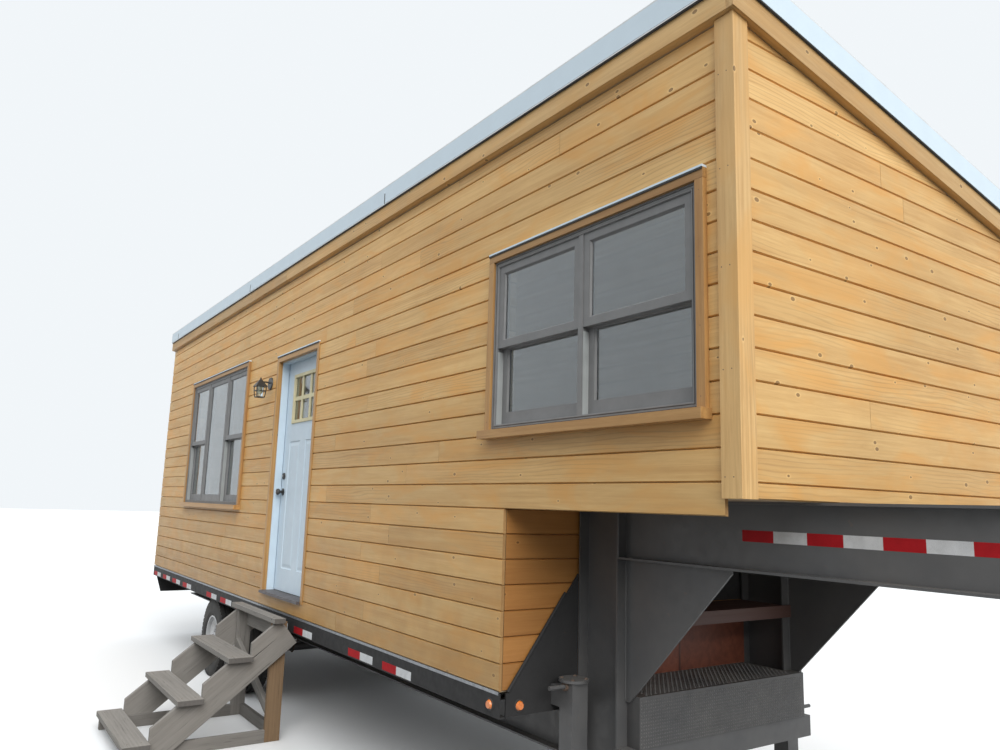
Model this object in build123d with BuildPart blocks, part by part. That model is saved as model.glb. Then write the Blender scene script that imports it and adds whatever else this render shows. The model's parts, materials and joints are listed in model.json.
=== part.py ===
"""Tiny house on a gooseneck trailer, with wooden entry steps.

Millimetres. +X runs along the house to the coupler, +Y from the door wall to the
low wall, +Z up. The origin is on the ground, under the centre of the whole box.
"""
from build123d import *
import os

# House
house_length = 9640
house_width = 2490
loft_reach = 1510
wall_base_z = 907
skirt_z = 1814
siding = 18
core = 123
floor_rise = 113
loft_floor_z = 1880
loft_floor_depth = 115

# Roof
eave_z = 3827
roof_fall = 0.194
roof_depth = 216
fascia_height = 112
fascia_thickness = 38
edge_height = 126
edge_thickness = 12
edge_gap = 2
sheet = 8
rib_pitch = 406
rib_width = 14
rib_height = 26
corner_board = 92
corner_board_side = 76
corner_board_thickness = 19

# Entry door, spaced from the row window's casing
door_window_gap = 832
door_width = 914
door_height = 2032
door_thickness = 44
door_gap = 5
jamb = 19
casing_width = 45
casing_thickness = 25
door_casing_width = 43
door_casing_thickness = 8
door_head_casing = 51
frame_setback = 30
threshold_reach = 36
threshold_depth = 22
door_stop = 12
lite_width = 584
lite_height = 444
lite_top_rail = 124
lite_columns = 3
lite_rows = 2
lite_face = 28
lite_bar = 34
lite_bar_depth = 8
lite_proud = 9
door_pane = 24
panel_width = 262
panel_height = 1117
panel_gap = 120
panel_bottom = 188
panel_recess = 6
knob_height = 853
bolt_rise = 141
knob_backset = 60
pin_radius = 4
hinge_clearance = 0.3
knuckle_radius = 8
hinge_height = 100
hinge_from_end = 180
hinge_leaf = 3
hinge_leaf_width = 36

# Lantern left of the door
lantern_from_door = 675
lantern_z = 2902
lantern_plate = 60
lantern_plate_depth = 12
lantern_reach = 99
lantern_body = 92
lantern_foot = 77
lantern_height = 101
lantern_ring_gap = 59
lantern_bar = 7
lantern_glass_radius = 30
arm_rise = 10
plate_taper = 20
hood_width = 112
hood_height = 70
hood_taper = 34
hood_drop = 40
finial = 16

# Windows: place along the house, sill height, width and height inside the casing
loft_window_gap = 65
loft_window_z = 2226
loft_window_width = 1452
loft_window_height = 943
row_window_from_rear = 1350
row_window_z = 1757
row_window_width = 2138
row_window_height = 1403
row_side_unit = 640
frame_in = -7
frame_face = 32
frame_depth = 82
sash_face = 40
sash_depth = 34
sash_in = 6
sash_gap = 0.3
mull = 30
glass = 8
sill_reach = 41
sill_horn = 12
drip_cap = 4
drip_cap_height = 10
board_joint = 0.3

# Trailer
deck_z = 900
cross_height = 76
cross_width = 38
cross_wall = 6
cross_pitch = 610
beam_height = 305
beam_flange = 130
beam_web = 8
beam_flange_thickness = 11
beam_inset = 500
rail_height = 114
rail_flange = 45
rail_wall = 8
flashing_height = 16
flashing_thickness = 3
rear_plate_bottom = 560
rear_plate_thickness = 10
rear_plate_taper = 110
riser_gap = 20
neck_top_z = 1880
nose_reach = 680
gusset_run = 680
gusset_drop = 705
gusset_plate = 12
gusset_tip = 20
gusset_foot = 30
neck_cross = 60
neck_cross_inset = 40
wing_gap = 8
wing_inset = 35
wing_ledge = 20
wing_thickness = 10
wing_top_z = 1475
edge_bar = 9
edge_bar_share = 0.82
coupler_from_nose = 220
coupler_radius = 51
coupler_bore = 30
coupler_depth = 70
coupler_bottom_z = 1150
sleeve_wall = 12
sleeve_inset = 20
axle_from_rear = 3235
axle_spread = 864
axle_radius = 38
axle_pad = 12
axle_pad_width = 80
tyre_radius = 385
tyre_width = 232
tyre_shoulder = 42
rim_radius = 210
rim_half = 104
rim_wall = 8
rim_lip = 5
rim_edge = 14
hand_holes = 8
wheel_inset = 40
spring_radius = 1830
spring_leaf = 10
spring_width = 64
spring_spans = [330, 235, 140]
spring_eye = 14
jack_tube = 102
jack_leg = 82
jack_leg_z = 230
jack_cap_radius = 78
jack_cap = 14
jack_x = 140
jack_y = 373
jack_top_z = 965
jack_foot = 230
jack_foot_plate = 12
bracket_low = 80
bracket_height = 100
crank_radius = 11
crank_z = 930
crank_stub = 110
crank_drop = 320
crank_grip = 90
lamp_radius = 26
lamp_depth = 14
lamp_z = 834
rail_lamp_from_step = 73
plate_lamp_in = 118
box_top_z = 905
box_bottom_z = 655
box_reach = 90
brace_beam = 115
shelf_z = 1285
shelf_edge = 72
panel_board = 18

# Entry steps: notched planks, three treads and a narrow board at the top
step_reach = 1210
step_offset = 55
step_length = 1120
step_rise = 265
first_tread_z = 124
tread_count = 3
tread_depth = 184
tread_run = 337
top_board = 89
lumber = 38
plank_depth = 230
plank_inset = 60
tooth_height = 86
foot_setback = 12
post_width = 118
post_in = 74
back_board = 140
tie_height = 89
brace_height = 72
brace_far_z = 560
brace_near_z = 200
split_width = 9
split_share = 0.9
contact = 0.3

# Places worked out from the sizes above
roof_lip = fascia_thickness + edge_thickness
overall_length = roof_lip + house_length + nose_reach
far_reach = max(roof_lip, casing_thickness + sill_reach)
overall_width = step_reach + house_width + far_reach
x_rear = roof_lip - overall_length / 2
x_front = x_rear + house_length
x_step = x_front - loft_reach
x_nose = x_front + nose_reach
y_near = step_reach - overall_width / 2
y_far = y_near + house_width
y_mid = (y_near + y_far) / 2
wall = siding + core
floor_z = deck_z + floor_rise
beam_bottom_z = deck_z - cross_height - beam_height
door_bottom_z = floor_z + threshold_depth
door_open_half = door_width / 2 + door_gap
x_riser = x_step + riser_gap + beam_height
x_wing = x_step + wing_gap
row_window_x = x_rear + row_window_from_rear + casing_width + row_window_width / 2
loft_window_x = x_front - corner_board_side - loft_window_gap - casing_width - loft_window_width / 2
row_casing_end = row_window_x + row_window_width / 2 + casing_width
door_left = row_casing_end + door_window_gap + door_casing_width - jamb
door_x = door_left + jamb + door_open_half
door_right = door_x + door_open_half + jamb
step_x = door_x - step_offset
axle_x = x_rear + axle_from_rear


def roof_line(y, above_eave):
    """Height of a line parallel to the roof, given its rise over the eave line."""
    return eave_z + above_eave - roof_fall * (y - y_near)


def block(x0, x1, y0, y1, z0, z1, mode=Mode.ADD):
    """A rectangular block between two corners, in the part being built."""
    with Locations(((x0 + x1) / 2, (y0 + y1) / 2, (z0 + z1) / 2)):
        Box(x1 - x0, y1 - y0, z1 - z0, mode=mode)


def across(points, x0, x1):
    """A polygon drawn in Y and Z, run along X."""
    with BuildSketch(Plane.YZ.offset(x0)) as outline:
        with BuildLine():
            Polyline(*points, close=True)
        make_face()
    extrude(outline.sketch, amount=x1 - x0)


def along(points, y0, y1, mode=Mode.ADD):
    """A polygon drawn in X and Z, run along Y."""
    with BuildSketch(Plane.XZ.offset(-y1)) as outline:
        with BuildLine():
            Polyline(*points, close=True)
        make_face()
    extrude(outline.sketch, amount=y1 - y0, mode=mode)


def sloped(x0, x1, y0, y1, low, high):
    """A slab parallel to the roof between two lines over the eave."""
    across(
        [
            (y0, roof_line(y0, low)),
            (y1, roof_line(y1, low)),
            (y1, roof_line(y1, high)),
            (y0, roof_line(y0, high)),
        ],
        x0,
        x1,
    )


def band(y0, y1, side):
    """A range of Y measured in from the near face, or mirrored to the far side."""
    if side > 0:
        return y_near + y0, y_near + y1
    return y_far - y1, y_far - y0


def ring(x, z, width, height, face, y0, y1):
    """A rectangular picture frame in a wall; x is its centre, z its bottom."""
    block(x - width / 2, x + width / 2, y0, y1, z, z + height)
    block(
        x - width / 2 + face,
        x + width / 2 - face,
        y0,
        y1,
        z + face,
        z + height - face,
        Mode.SUBTRACT,
    )


def save(part, label):
    """Name a finished piece and write it."""
    part.part.label = label
    export_step(part.part, f"parts/{label}.step")


os.makedirs("parts", exist_ok=True)

# Window openings, used by the walls, frames, sashes and glass
windows = [
    (loft_window_x, loft_window_z, loft_window_width, loft_window_height),
    (row_window_x, row_window_z, row_window_width, row_window_height),
]
loft_window, row_window = windows
half_loft = (loft_window_width - 2 * frame_face - mull) / 2
row_centre_unit = row_window_width - 2 * frame_face - 2 * mull - 2 * row_side_unit
# Each unit: centre, clear width, and how many sashes high it is
loft_units = [
    (loft_window_x - (half_loft + mull) / 2, half_loft, 2),
    (loft_window_x + (half_loft + mull) / 2, half_loft, 2),
]
row_offset = (row_centre_unit + row_side_unit) / 2 + mull
row_units = [
    (row_window_x - row_offset, row_side_unit, 2),
    (row_window_x, row_centre_unit, 1),
    (row_window_x + row_offset, row_side_unit, 2),
]

# The main floor on the deck, and the loft floor over the gooseneck
inside = (y_near + wall, y_far - wall)
with BuildPart() as floors:
    block(x_rear + wall, x_step - wall, *inside, deck_z, floor_z)
    block(
        x_step - wall,
        x_front - wall,
        *inside,
        loft_floor_z,
        loft_floor_z + loft_floor_depth,
    )
save(floors, "floors")

# Wall frames
door_head_z = door_bottom_z + door_height + 2 * door_gap + jamb
core_near = band(siding, wall, 1)
core_far = band(siding, wall, -1)


def wall_piece(x0, x1, z0, side):
    """A stretch of side wall, up to the underside of the roof."""
    y0, y1 = band(siding, wall, side)
    across(
        [(y0, z0), (y1, z0), (y1, roof_line(y1, 0)), (y0, roof_line(y0, 0))],
        x0,
        x1,
    )


def window_hole(window, side):
    """Cut one window opening through a side wall."""
    x, z, width, height = window
    y0, y1 = band(-siding, wall + siding, side)
    block(x - width / 2, x + width / 2, y0, y1, z, z + height, Mode.SUBTRACT)


x_split = loft_window_x - loft_window_width / 2 - wall
with BuildPart() as near_wall:
    wall_piece(x_rear + siding, door_left, deck_z, 1)
    wall_piece(door_right, x_split, deck_z, 1)
    window_hole(row_window, 1)
save(near_wall, "near_wall")

with BuildPart() as door_infill_walls:
    wall_piece(door_left, door_right, door_head_z, 1)
    block(door_left, door_right, *core_near, deck_z, floor_z)
save(door_infill_walls, "door_infill_walls")

with BuildPart() as far_wall:
    wall_piece(x_rear + siding, x_split, deck_z, -1)
    window_hole(row_window, -1)
save(far_wall, "far_wall")

with BuildPart() as loft_side_walls:
    for side in (1, -1):
        wall_piece(x_split, x_front - siding, loft_floor_z, side)
        window_hole(loft_window, side)
save(loft_side_walls, "loft_side_walls")

with BuildPart() as step_corner_walls:
    for y0, y1 in (core_near, core_far):
        block(x_split, x_step - siding, y0, y1, deck_z, loft_floor_z)
save(step_corner_walls, "step_corner_walls")


def end_wall(x0, x1, span, z0):
    """A wall or skin across the house, from z0 to the underside of the roof."""
    across(
        [
            (span[0], z0),
            (span[1], z0),
            (span[1], roof_line(span[1], 0)),
            (span[0], roof_line(span[0], 0)),
        ],
        x0,
        x1,
    )


with BuildPart() as end_walls:
    end_wall(x_rear + siding, x_rear + wall, inside, deck_z)
    end_wall(x_front - wall, x_front - siding, inside, loft_floor_z)
    block(x_step - wall, x_step - siding, *inside, deck_z, loft_floor_z)
save(end_walls, "end_walls")

# Siding skins, one sheet to a side, each backed by its wall

def side_skin(side):
    """Outline of a long side, with a skirt below the loft that stops at the corner board."""
    y0, y1 = band(0, siding, side)
    top = roof_line(y1, 0)
    along(
        [
            (x_rear, wall_base_z),
            (x_step, wall_base_z),
            (x_step, skirt_z),
            (x_front - corner_board_side, skirt_z),
            (x_front - corner_board_side, loft_floor_z),
            (x_front, loft_floor_z),
            (x_front, top),
            (x_rear, top),
        ],
        y0,
        y1,
    )
    window_hole(loft_window, side)
    window_hole(row_window, side)


with BuildPart() as side_siding:
    side_skin(1)
    block(
        door_left,
        door_right,
        *band(-siding, wall, 1),
        wall_base_z - siding,
        door_head_z,
        Mode.SUBTRACT,
    )
    block(door_left, door_right, *band(0, siding, 1), wall_base_z, floor_z)
    side_skin(-1)
save(side_siding, "side_siding")

inner_skin = (y_near + siding, y_far - siding)
with BuildPart() as end_siding:
    end_wall(x_rear, x_rear + siding, inner_skin, wall_base_z)
    end_wall(x_front - siding, x_front, inner_skin, loft_floor_z)
save(end_siding, "end_siding")

with BuildPart() as step_siding:
    block(x_step - siding, x_step, *inner_skin, wall_base_z, loft_floor_z)
save(step_siding, "step_siding")

# Corner boards at the loft's front corners
with BuildPart() as corner_boards:
    for side in (1, -1):
        y0, y1 = band(-corner_board_thickness, 0, side)
        top = roof_line(y1, 0)
        block(x_front - corner_board_side, x_front, y0, y1, loft_floor_z, top)
        face = band(-corner_board_thickness, corner_board - corner_board_thickness, side)
        end_wall(x_front, x_front + corner_board_thickness, face, loft_floor_z)
save(corner_boards, "corner_boards")

# Roof
with BuildPart() as roof_deck:
    sloped(x_rear, x_front, y_near, y_far, 0, roof_depth)
save(roof_deck, "roof_deck")

with BuildPart() as eave_fascias:
    for side in (1, -1):
        y0, y1 = band(-fascia_thickness, 0, side)
        sloped(x_rear, x_front, y0, y1, 0, fascia_height)
save(eave_fascias, "eave_fascias")

fascia_span = (y_near - fascia_thickness, y_far + fascia_thickness)
with BuildPart() as rake_fascias:
    for x0 in (x_rear - fascia_thickness, x_front):
        sloped(x0, x0 + fascia_thickness, *fascia_span, 0, fascia_height)
save(rake_fascias, "rake_fascias")

edge_low = fascia_height + edge_gap
edge_high = edge_low + edge_height
edge_span = (y_near - roof_lip, y_far + roof_lip)
with BuildPart() as eave_metal:
    for side in (1, -1):
        y0, y1 = band(-roof_lip, 0, side)
        sloped(x_rear, x_front, y0, y1, edge_low, edge_high - sheet)
save(eave_metal, "eave_metal")

with BuildPart() as rake_metal:
    for x0 in (x_rear - roof_lip, x_front):
        sloped(x0, x0 + roof_lip, *edge_span, edge_low, edge_high - sheet)
save(rake_metal, "rake_metal")

with BuildPart() as roof_sheet:
    ends = (x_rear - roof_lip, x_front + roof_lip)
    sloped(*ends, *edge_span, edge_high - sheet, edge_high)
    rib_count = int((ends[1] - ends[0]) / rib_pitch)
    for i in range(rib_count + 1):
        x = ends[0] + rib_width + i * rib_pitch
        sloped(
            x,
            x + rib_width,
            edge_span[0] + rib_height,
            edge_span[1] - rib_height,
            edge_high,
            edge_high + rib_height,
        )
save(roof_sheet, "roof_sheet")

# Window casings: two legs between a head board and a projecting sill, butted with a fine joint
with BuildPart() as window_casings:
    for side in (1, -1):
        y0, y1 = band(-casing_thickness, 0, side)
        sill_span = band(-casing_thickness - sill_reach, 0, side)
        for x, z, width, height in windows:
            half = width / 2 + casing_width
            for s in (-1, 1):
                edges = sorted((x + s * half, x + s * width / 2))
                block(*edges, y0, y1, z + board_joint, z + height - board_joint)
            block(x - half, x + half, y0, y1, z + height, z + height + casing_width)
            block(x - half - sill_horn, x + half + sill_horn, *sill_span, z - casing_width, z)
save(window_casings, "window_casings")

with BuildPart() as drip_caps:
    for side in (1, -1):
        y0, y1 = band(-casing_thickness - drip_cap, 0, side)
        for x, z, width, height in windows:
            top = z + height + casing_width
            end = width / 2 + casing_width
            block(x - end, x + end, y0, y1, top, top + drip_cap_height)
    end = door_open_half + door_casing_width
    top = door_head_z - jamb + door_head_casing
    y0, y1 = band(-door_casing_thickness - drip_cap, 0, 1)
    block(door_x - end, door_x + end, y0, y1, top, top + drip_cap_height)
save(drip_caps, "drip_caps")

# Window frames: a ring with upright mulls between the units
def window_frame(window, units, side):
    """One frame with a mull between each pair of units."""
    x, z, width, height = window
    y0, y1 = band(frame_in, frame_in + frame_depth, side)
    ring(x, z, width, height, frame_face, y0, y1)
    for unit in units[:-1]:
        m = unit[0] + unit[1] / 2
        block(m, m + mull, y0, y1, z + frame_face, z + height - frame_face)


with BuildPart() as window_frames:
    for side in (1, -1):
        window_frame(loft_window, loft_units, side)
        window_frame(row_window, row_units, side)
save(window_frames, "window_frames")


def sashes(window, units):
    """Centre, bottom, width, height and plane of every sash in a window."""
    x, z, width, height = window
    clear = height - 2 * frame_face
    low = z + frame_face
    found = []
    for centre, unit_width, rows in units:
        sash_width = unit_width - 2 * sash_gap
        if rows == 1:
            found.append((centre, low + sash_gap, sash_width, clear - 2 * sash_gap, 0))
            continue
        half = clear / 2 + sash_face / 2
        found.append((centre, low + sash_gap, sash_width, half - sash_gap, 1))
        found.append((centre, low + clear - half, sash_width, half - sash_gap, 0))
    return found


all_sashes = sashes(loft_window, loft_units) + sashes(row_window, row_units)


def sash_band(plane, side):
    """The outer sashes sit in front of the inner ones."""
    start = frame_in + sash_in + plane * (sash_depth + sash_gap)
    return band(start, start + sash_depth, side)


with BuildPart() as window_sashes:
    for side in (1, -1):
        for x, z, width, height, plane in all_sashes:
            ring(x, z, width, height, sash_face, *sash_band(plane, side))
save(window_sashes, "window_sashes")

with BuildPart() as window_glass:
    for side in (1, -1):
        for x, z, width, height, plane in all_sashes:
            y0, y1 = sash_band(plane, side)
            middle = (y0 + y1) / 2
            block(
                x - width / 2 + sash_face,
                x + width / 2 - sash_face,
                middle - glass / 2,
                middle + glass / 2,
                z + sash_face,
                z + height - sash_face,
            )
save(window_glass, "window_glass")

# Door frame, threshold and casing
door_in = wall - door_thickness
jamb_band = band(frame_setback, wall, 1)
stop_band = band(frame_setback, door_in - door_gap, 1)
with BuildPart() as door_jambs:
    for s in (-1, 1):
        edge = door_x + s * door_open_half
        block(*sorted((edge, edge + s * jamb)), *jamb_band, floor_z, door_head_z)
        block(
            *sorted((edge, edge - s * door_stop)),
            *stop_band,
            door_bottom_z,
            door_head_z - jamb,
        )
save(door_jambs, "door_jambs")

with BuildPart() as door_head:
    span = (door_x - door_open_half, door_x + door_open_half)
    block(*span, *jamb_band, door_head_z - jamb, door_head_z)
    inner = door_open_half - door_stop
    block(
        door_x - inner,
        door_x + inner,
        *stop_band,
        door_head_z - jamb - door_stop,
        door_head_z - jamb,
    )
save(door_head, "door_head")

with BuildPart() as threshold:
    block(
        *span,
        *band(-threshold_reach, wall, 1),
        floor_z,
        door_bottom_z,
    )
save(threshold, "threshold")

# Each door casing board carries a lining that runs in to the frame
casing_band = band(-door_casing_thickness, 0, 1)
lining_band = band(-door_casing_thickness, frame_setback, 1)
with BuildPart() as door_casing_legs:
    for s in (-1, 1):
        edge = door_x + s * door_open_half
        heights = (floor_z, door_head_z - jamb)
        block(*sorted((edge, edge + s * door_casing_width)), *casing_band, *heights)
        block(*sorted((edge, edge + s * jamb)), *lining_band, *heights)
save(door_casing_legs, "door_casing_legs")

with BuildPart() as door_casing_head:
    half = door_open_half + door_casing_width
    low = door_head_z - jamb
    block(door_x - half, door_x + half, *casing_band, low, low + door_head_casing)
    block(door_left, door_right, *lining_band, low, door_head_z)
save(door_casing_head, "door_casing_head")

# Door leaf with its light, two tall panels, knobs and bolt
leaf_band = band(door_in, wall, 1)
door_low = door_bottom_z + door_gap
lite_z = door_low + door_height - lite_top_rail - lite_height
with BuildPart() as door_leaf:
    block(
        door_x - door_width / 2,
        door_x + door_width / 2,
        *leaf_band,
        door_low,
        door_low + door_height,
    )
    block(
        door_x - lite_width / 2,
        door_x + lite_width / 2,
        leaf_band[0] - door_gap,
        leaf_band[1] + door_gap,
        lite_z,
        lite_z + lite_height,
        Mode.SUBTRACT,
    )
    for s in (-1, 1):
        centre = door_x + s * (panel_width + panel_gap) / 2
        for y0, y1 in (
            (leaf_band[0] - panel_recess, leaf_band[0] + panel_recess),
            (leaf_band[1] - panel_recess, leaf_band[1] + panel_recess),
        ):
            block(
                centre - panel_width / 2,
                centre + panel_width / 2,
                y0,
                y1,
                door_low + panel_bottom,
                door_low + panel_bottom + panel_height,
                Mode.SUBTRACT,
            )
save(door_leaf, "door_leaf")

leaf_mid = (leaf_band[0] + leaf_band[1]) / 2


def lite_grid(face, pane):
    """The door light's frame from the leaf's face in to the pane, with thin bars against the pane."""
    ring(door_x, lite_z, lite_width, lite_height, lite_face, *sorted((face, pane)))
    outward = 1 if face > pane else -1
    y0, y1 = sorted((pane, pane + outward * lite_bar_depth))
    pitch = lite_width / lite_columns
    for i in range(1, lite_columns):
        x = door_x - lite_width / 2 + i * pitch
        block(
            x - lite_bar / 2,
            x + lite_bar / 2,
            y0,
            y1,
            lite_z + lite_face,
            lite_z + lite_height - lite_face,
        )
    for i in range(1, lite_rows):
        z = lite_z + i * lite_height / lite_rows
        block(
            door_x - lite_width / 2 + lite_face,
            door_x + lite_width / 2 - lite_face,
            y0,
            y1,
            z - lite_bar / 2,
            z + lite_bar / 2,
        )


with BuildPart() as door_light:
    lite_grid(leaf_band[0] - lite_proud, leaf_mid - door_pane / 2)
    lite_grid(leaf_band[1] + lite_proud, leaf_mid + door_pane / 2)
save(door_light, "door_light")

with BuildPart() as door_glass:
    block(
        door_x - lite_width / 2,
        door_x + lite_width / 2,
        leaf_mid - door_pane / 2,
        leaf_mid + door_pane / 2,
        lite_z,
        lite_z + lite_height,
    )
save(door_glass, "door_glass")

knob_x = door_x - door_width / 2 + knob_backset
knob_z = door_low + knob_height
bolt_z = knob_z + bolt_rise


def turned(profile, x, z, y, outward):
    """Turn a profile of (radius, reach) about an axis that stands off the door face."""
    plane = Plane(origin=(x, y, z), x_dir=(1, 0, 0), z_dir=(0, 0, 1))
    with BuildSketch(plane) as outline:
        with BuildLine():
            Polyline(*[(r, outward * d) for r, d in profile], close=True)
        make_face()
    revolve(outline.sketch, axis=Axis((x, y, z), (0, 1, 0)))


knob_profile = [(0, 0), (32, 0), (32, 6), (12, 10), (12, 28), (24, 36), (28, 48), (24, 60), (0, 64)]
bolt_profile = [(0, 0), (30, 0), (30, 8), (22, 14), (0, 16)]
with BuildPart() as door_knobs:
    for y, outward in ((leaf_band[0], -1), (leaf_band[1], 1)):
        turned(knob_profile, knob_x, knob_z, y, outward)
        turned(bolt_profile, knob_x, bolt_z, y, outward)
save(door_knobs, "door_knobs")

# Hinges on the right jamb, with the pin just inside the room
pin_x = door_x + door_width / 2 + door_gap / 2
pin_y = leaf_band[1] + knuckle_radius
hinge_heights = [
    door_low + hinge_from_end,
    door_low + door_height / 2,
    door_low + door_height - hinge_from_end,
]
knuckle = hinge_height / 3
with BuildPart() as door_hinges:
    for z in hinge_heights:
        with BuildSketch(Plane.XY.offset(z - knuckle / 2 + contact)) as barrel:
            with Locations((pin_x, pin_y)):
                Circle(knuckle_radius)
        extrude(barrel.sketch, amount=knuckle - 2 * contact)
        with BuildSketch(Plane.XY.offset(z - hinge_height / 2)) as pin:
            with Locations((pin_x, pin_y)):
                Circle(pin_radius)
        extrude(pin.sketch, amount=hinge_height)
        block(
            pin_x - hinge_leaf_width,
            pin_x,
            leaf_band[1],
            leaf_band[1] + hinge_leaf,
            z - knuckle / 2 + contact,
            z + knuckle / 2 - contact,
        )
save(door_hinges, "door_hinges")

with BuildPart() as frame_hinges:
    for z in hinge_heights:
        for low in (z - hinge_height / 2, z + knuckle / 2):
            with BuildSketch(Plane.XY.offset(low)) as barrel:
                with Locations((pin_x, pin_y)):
                    Circle(knuckle_radius)
                    Circle(pin_radius + hinge_clearance, mode=Mode.SUBTRACT)
            extrude(barrel.sketch, amount=knuckle)
            block(
                pin_x + pin_radius + hinge_clearance + 1,
                pin_x + hinge_leaf_width,
                leaf_band[1],
                leaf_band[1] + hinge_leaf,
                low,
                low + knuckle,
            )
        block(
            pin_x + knuckle_radius + 2,
            pin_x + hinge_leaf_width,
            leaf_band[1],
            leaf_band[1] + hinge_leaf,
            z - hinge_height / 2,
            z + hinge_height / 2,
        )
save(frame_hinges, "frame_hinges")

# Carriage lantern left of the door: wall plate, arm, hood, four legs and two open rings
lantern_x = door_x - lantern_from_door
lantern_y = y_near - lantern_reach
hood_z = lantern_z - hood_drop
foot_z = hood_z - lantern_height


def square_ring(z, outer, bar):
    """An open square of bars round the lantern's middle."""
    with BuildSketch(Plane.XY.offset(z)) as outline:
        with Locations((lantern_x, lantern_y)):
            Rectangle(outer, outer)
            Rectangle(outer - 2 * bar, outer - 2 * bar, mode=Mode.SUBTRACT)
    extrude(outline.sketch, amount=bar)


with BuildPart() as lantern:
    wall_plane = Plane(origin=(lantern_x, y_near, lantern_z), x_dir=(1, 0, 0), z_dir=(0, -1, 0))
    with BuildSketch(wall_plane) as plate:
        Circle(lantern_plate)
    extrude(plate.sketch, amount=lantern_plate_depth, taper=plate_taper)
    arm_start = (lantern_x, y_near - lantern_plate_depth / 2, lantern_z)
    arm_top = (lantern_x, (y_near + lantern_y) / 2, lantern_z + arm_rise)
    arm_end = (lantern_x, lantern_y, hood_z + hood_height / 2)
    with BuildLine() as arm:
        ThreePointArc(arm_start, arm_top, arm_end)
    with BuildSketch(Plane(origin=arm.line @ 0, z_dir=arm.line % 0)) as rod:
        Circle(lantern_bar)
    sweep(rod.sketch, path=arm.line)
    with BuildSketch(Plane.XY.offset(hood_z)) as hood_base:
        with Locations((lantern_x, lantern_y)):
            Rectangle(hood_width, hood_width)
    extrude(hood_base.sketch, amount=hood_height, taper=hood_taper)
    with BuildSketch(Plane.XY.offset(hood_z + hood_height)) as tip:
        with Locations((lantern_x, lantern_y)):
            Circle(lantern_bar)
    extrude(tip.sketch, amount=finial)
    upper_z = foot_z + lantern_ring_gap
    square_ring(upper_z, lantern_body, lantern_bar)
    square_ring(foot_z, lantern_foot, lantern_bar)
    for sx in (-1, 1):
        for sy in (-1, 1):
            corners = []
            for z, half in (
                (foot_z, lantern_foot / 2),
                (upper_z + lantern_bar / 2, lantern_body / 2),
                (hood_z + lantern_bar, lantern_body / 2),
            ):
                inset = half - lantern_bar / 2
                with BuildSketch(Plane.XY.offset(z)) as foot:
                    with Locations((lantern_x + sx * inset, lantern_y + sy * inset)):
                        Rectangle(lantern_bar, lantern_bar)
                corners.append(foot.sketch)
            loft(corners[:2])
            loft(corners[1:])
save(lantern, "lantern")

with BuildPart() as lantern_glass:
    with BuildSketch(Plane.XY.offset(foot_z + lantern_bar)) as chimney:
        with Locations((lantern_x, lantern_y)):
            Circle(lantern_glass_radius)
    extrude(chimney.sketch, amount=lantern_height - lantern_bar)
save(lantern_glass, "lantern_glass")

# Trailer beams
beam_y = [y_near + beam_inset + beam_flange / 2, y_far - beam_inset - beam_flange / 2]


def i_profile(height, flange, web, flange_thickness):
    """An I section centred on the sketch, with its height along local y."""
    Rectangle(web, height)
    for s in (-1, 1):
        with Locations((0, s * (height - flange_thickness) / 2)):
            Rectangle(flange, flange_thickness)


def beam_along(x0, x1, y, z0):
    """An I beam lying along the trailer, with its bottom at z0."""
    with BuildSketch(Plane(origin=(x0, y, z0 + beam_height / 2), x_dir=(0, 1, 0), z_dir=(1, 0, 0))) as cut:
        i_profile(beam_height, beam_flange, beam_web, beam_flange_thickness)
    extrude(cut.sketch, amount=x1 - x0)


with BuildPart() as main_beams:
    for y in beam_y:
        beam_along(x_rear + rear_plate_thickness, x_riser - beam_height, y, beam_bottom_z)
save(main_beams, "main_beams")

with BuildPart() as risers:
    for y in beam_y:
        column = Plane(
            origin=(x_riser - beam_height / 2, y, beam_bottom_z),
            x_dir=(0, 1, 0),
            z_dir=(0, 0, 1),
        )
        with BuildSketch(column) as cut:
            i_profile(beam_height, beam_flange, beam_web, beam_flange_thickness)
        extrude(cut.sketch, amount=neck_top_z - beam_bottom_z)
save(risers, "risers")

with BuildPart() as neck_beams:
    for y in beam_y:
        beam_along(x_riser, x_nose, y, neck_top_z - beam_height)
save(neck_beams, "neck_beams")

with BuildPart() as neck_gussets:
    for y in beam_y:
        corner_z = neck_top_z - beam_height
        along(
            [
                (x_riser, corner_z),
                (x_riser + gusset_run, corner_z),
                (x_riser + gusset_run, corner_z - gusset_tip),
                (x_riser + gusset_foot, corner_z - gusset_drop),
                (x_riser, corner_z - gusset_drop),
            ],
            y - gusset_plate / 2,
            y + gusset_plate / 2,
        )
save(neck_gussets, "neck_gussets")

# Pierced deck: channels across the beams, and a rail along each side
with BuildPart() as crossmembers:
    count = int((x_step - x_rear - cross_width) / cross_pitch)
    for i in range(count + 1):
        x = x_rear + rear_plate_thickness + i * cross_pitch
        y0, y1 = y_near + rail_wall, y_far - rail_wall
        z0 = deck_z - cross_height
        block(x, x + cross_width, y0, y1, z0, deck_z)
        block(
            x + cross_wall,
            x + cross_width,
            y0,
            y1,
            z0 + cross_wall,
            deck_z - cross_wall,
            Mode.SUBTRACT,
        )
save(crossmembers, "crossmembers")

with BuildPart() as side_rails:
    for side in (1, -1):
        z0 = deck_z - rail_height
        y0, y1 = band(0, rail_wall, side)
        block(x_rear, x_wing, y0, y1, z0, deck_z)
        y0, y1 = band(0, rail_flange, side)
        block(x_rear, x_wing, y0, y1, z0 - rail_wall, z0)
save(side_rails, "side_rails")

with BuildPart() as flashings:
    for side in (1, -1):
        y0, y1 = band(-flashing_thickness, 0, side)
        block(x_rear, x_step, y0, y1, wall_base_z - flashing_height, wall_base_z)
save(flashings, "flashings")

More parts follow.
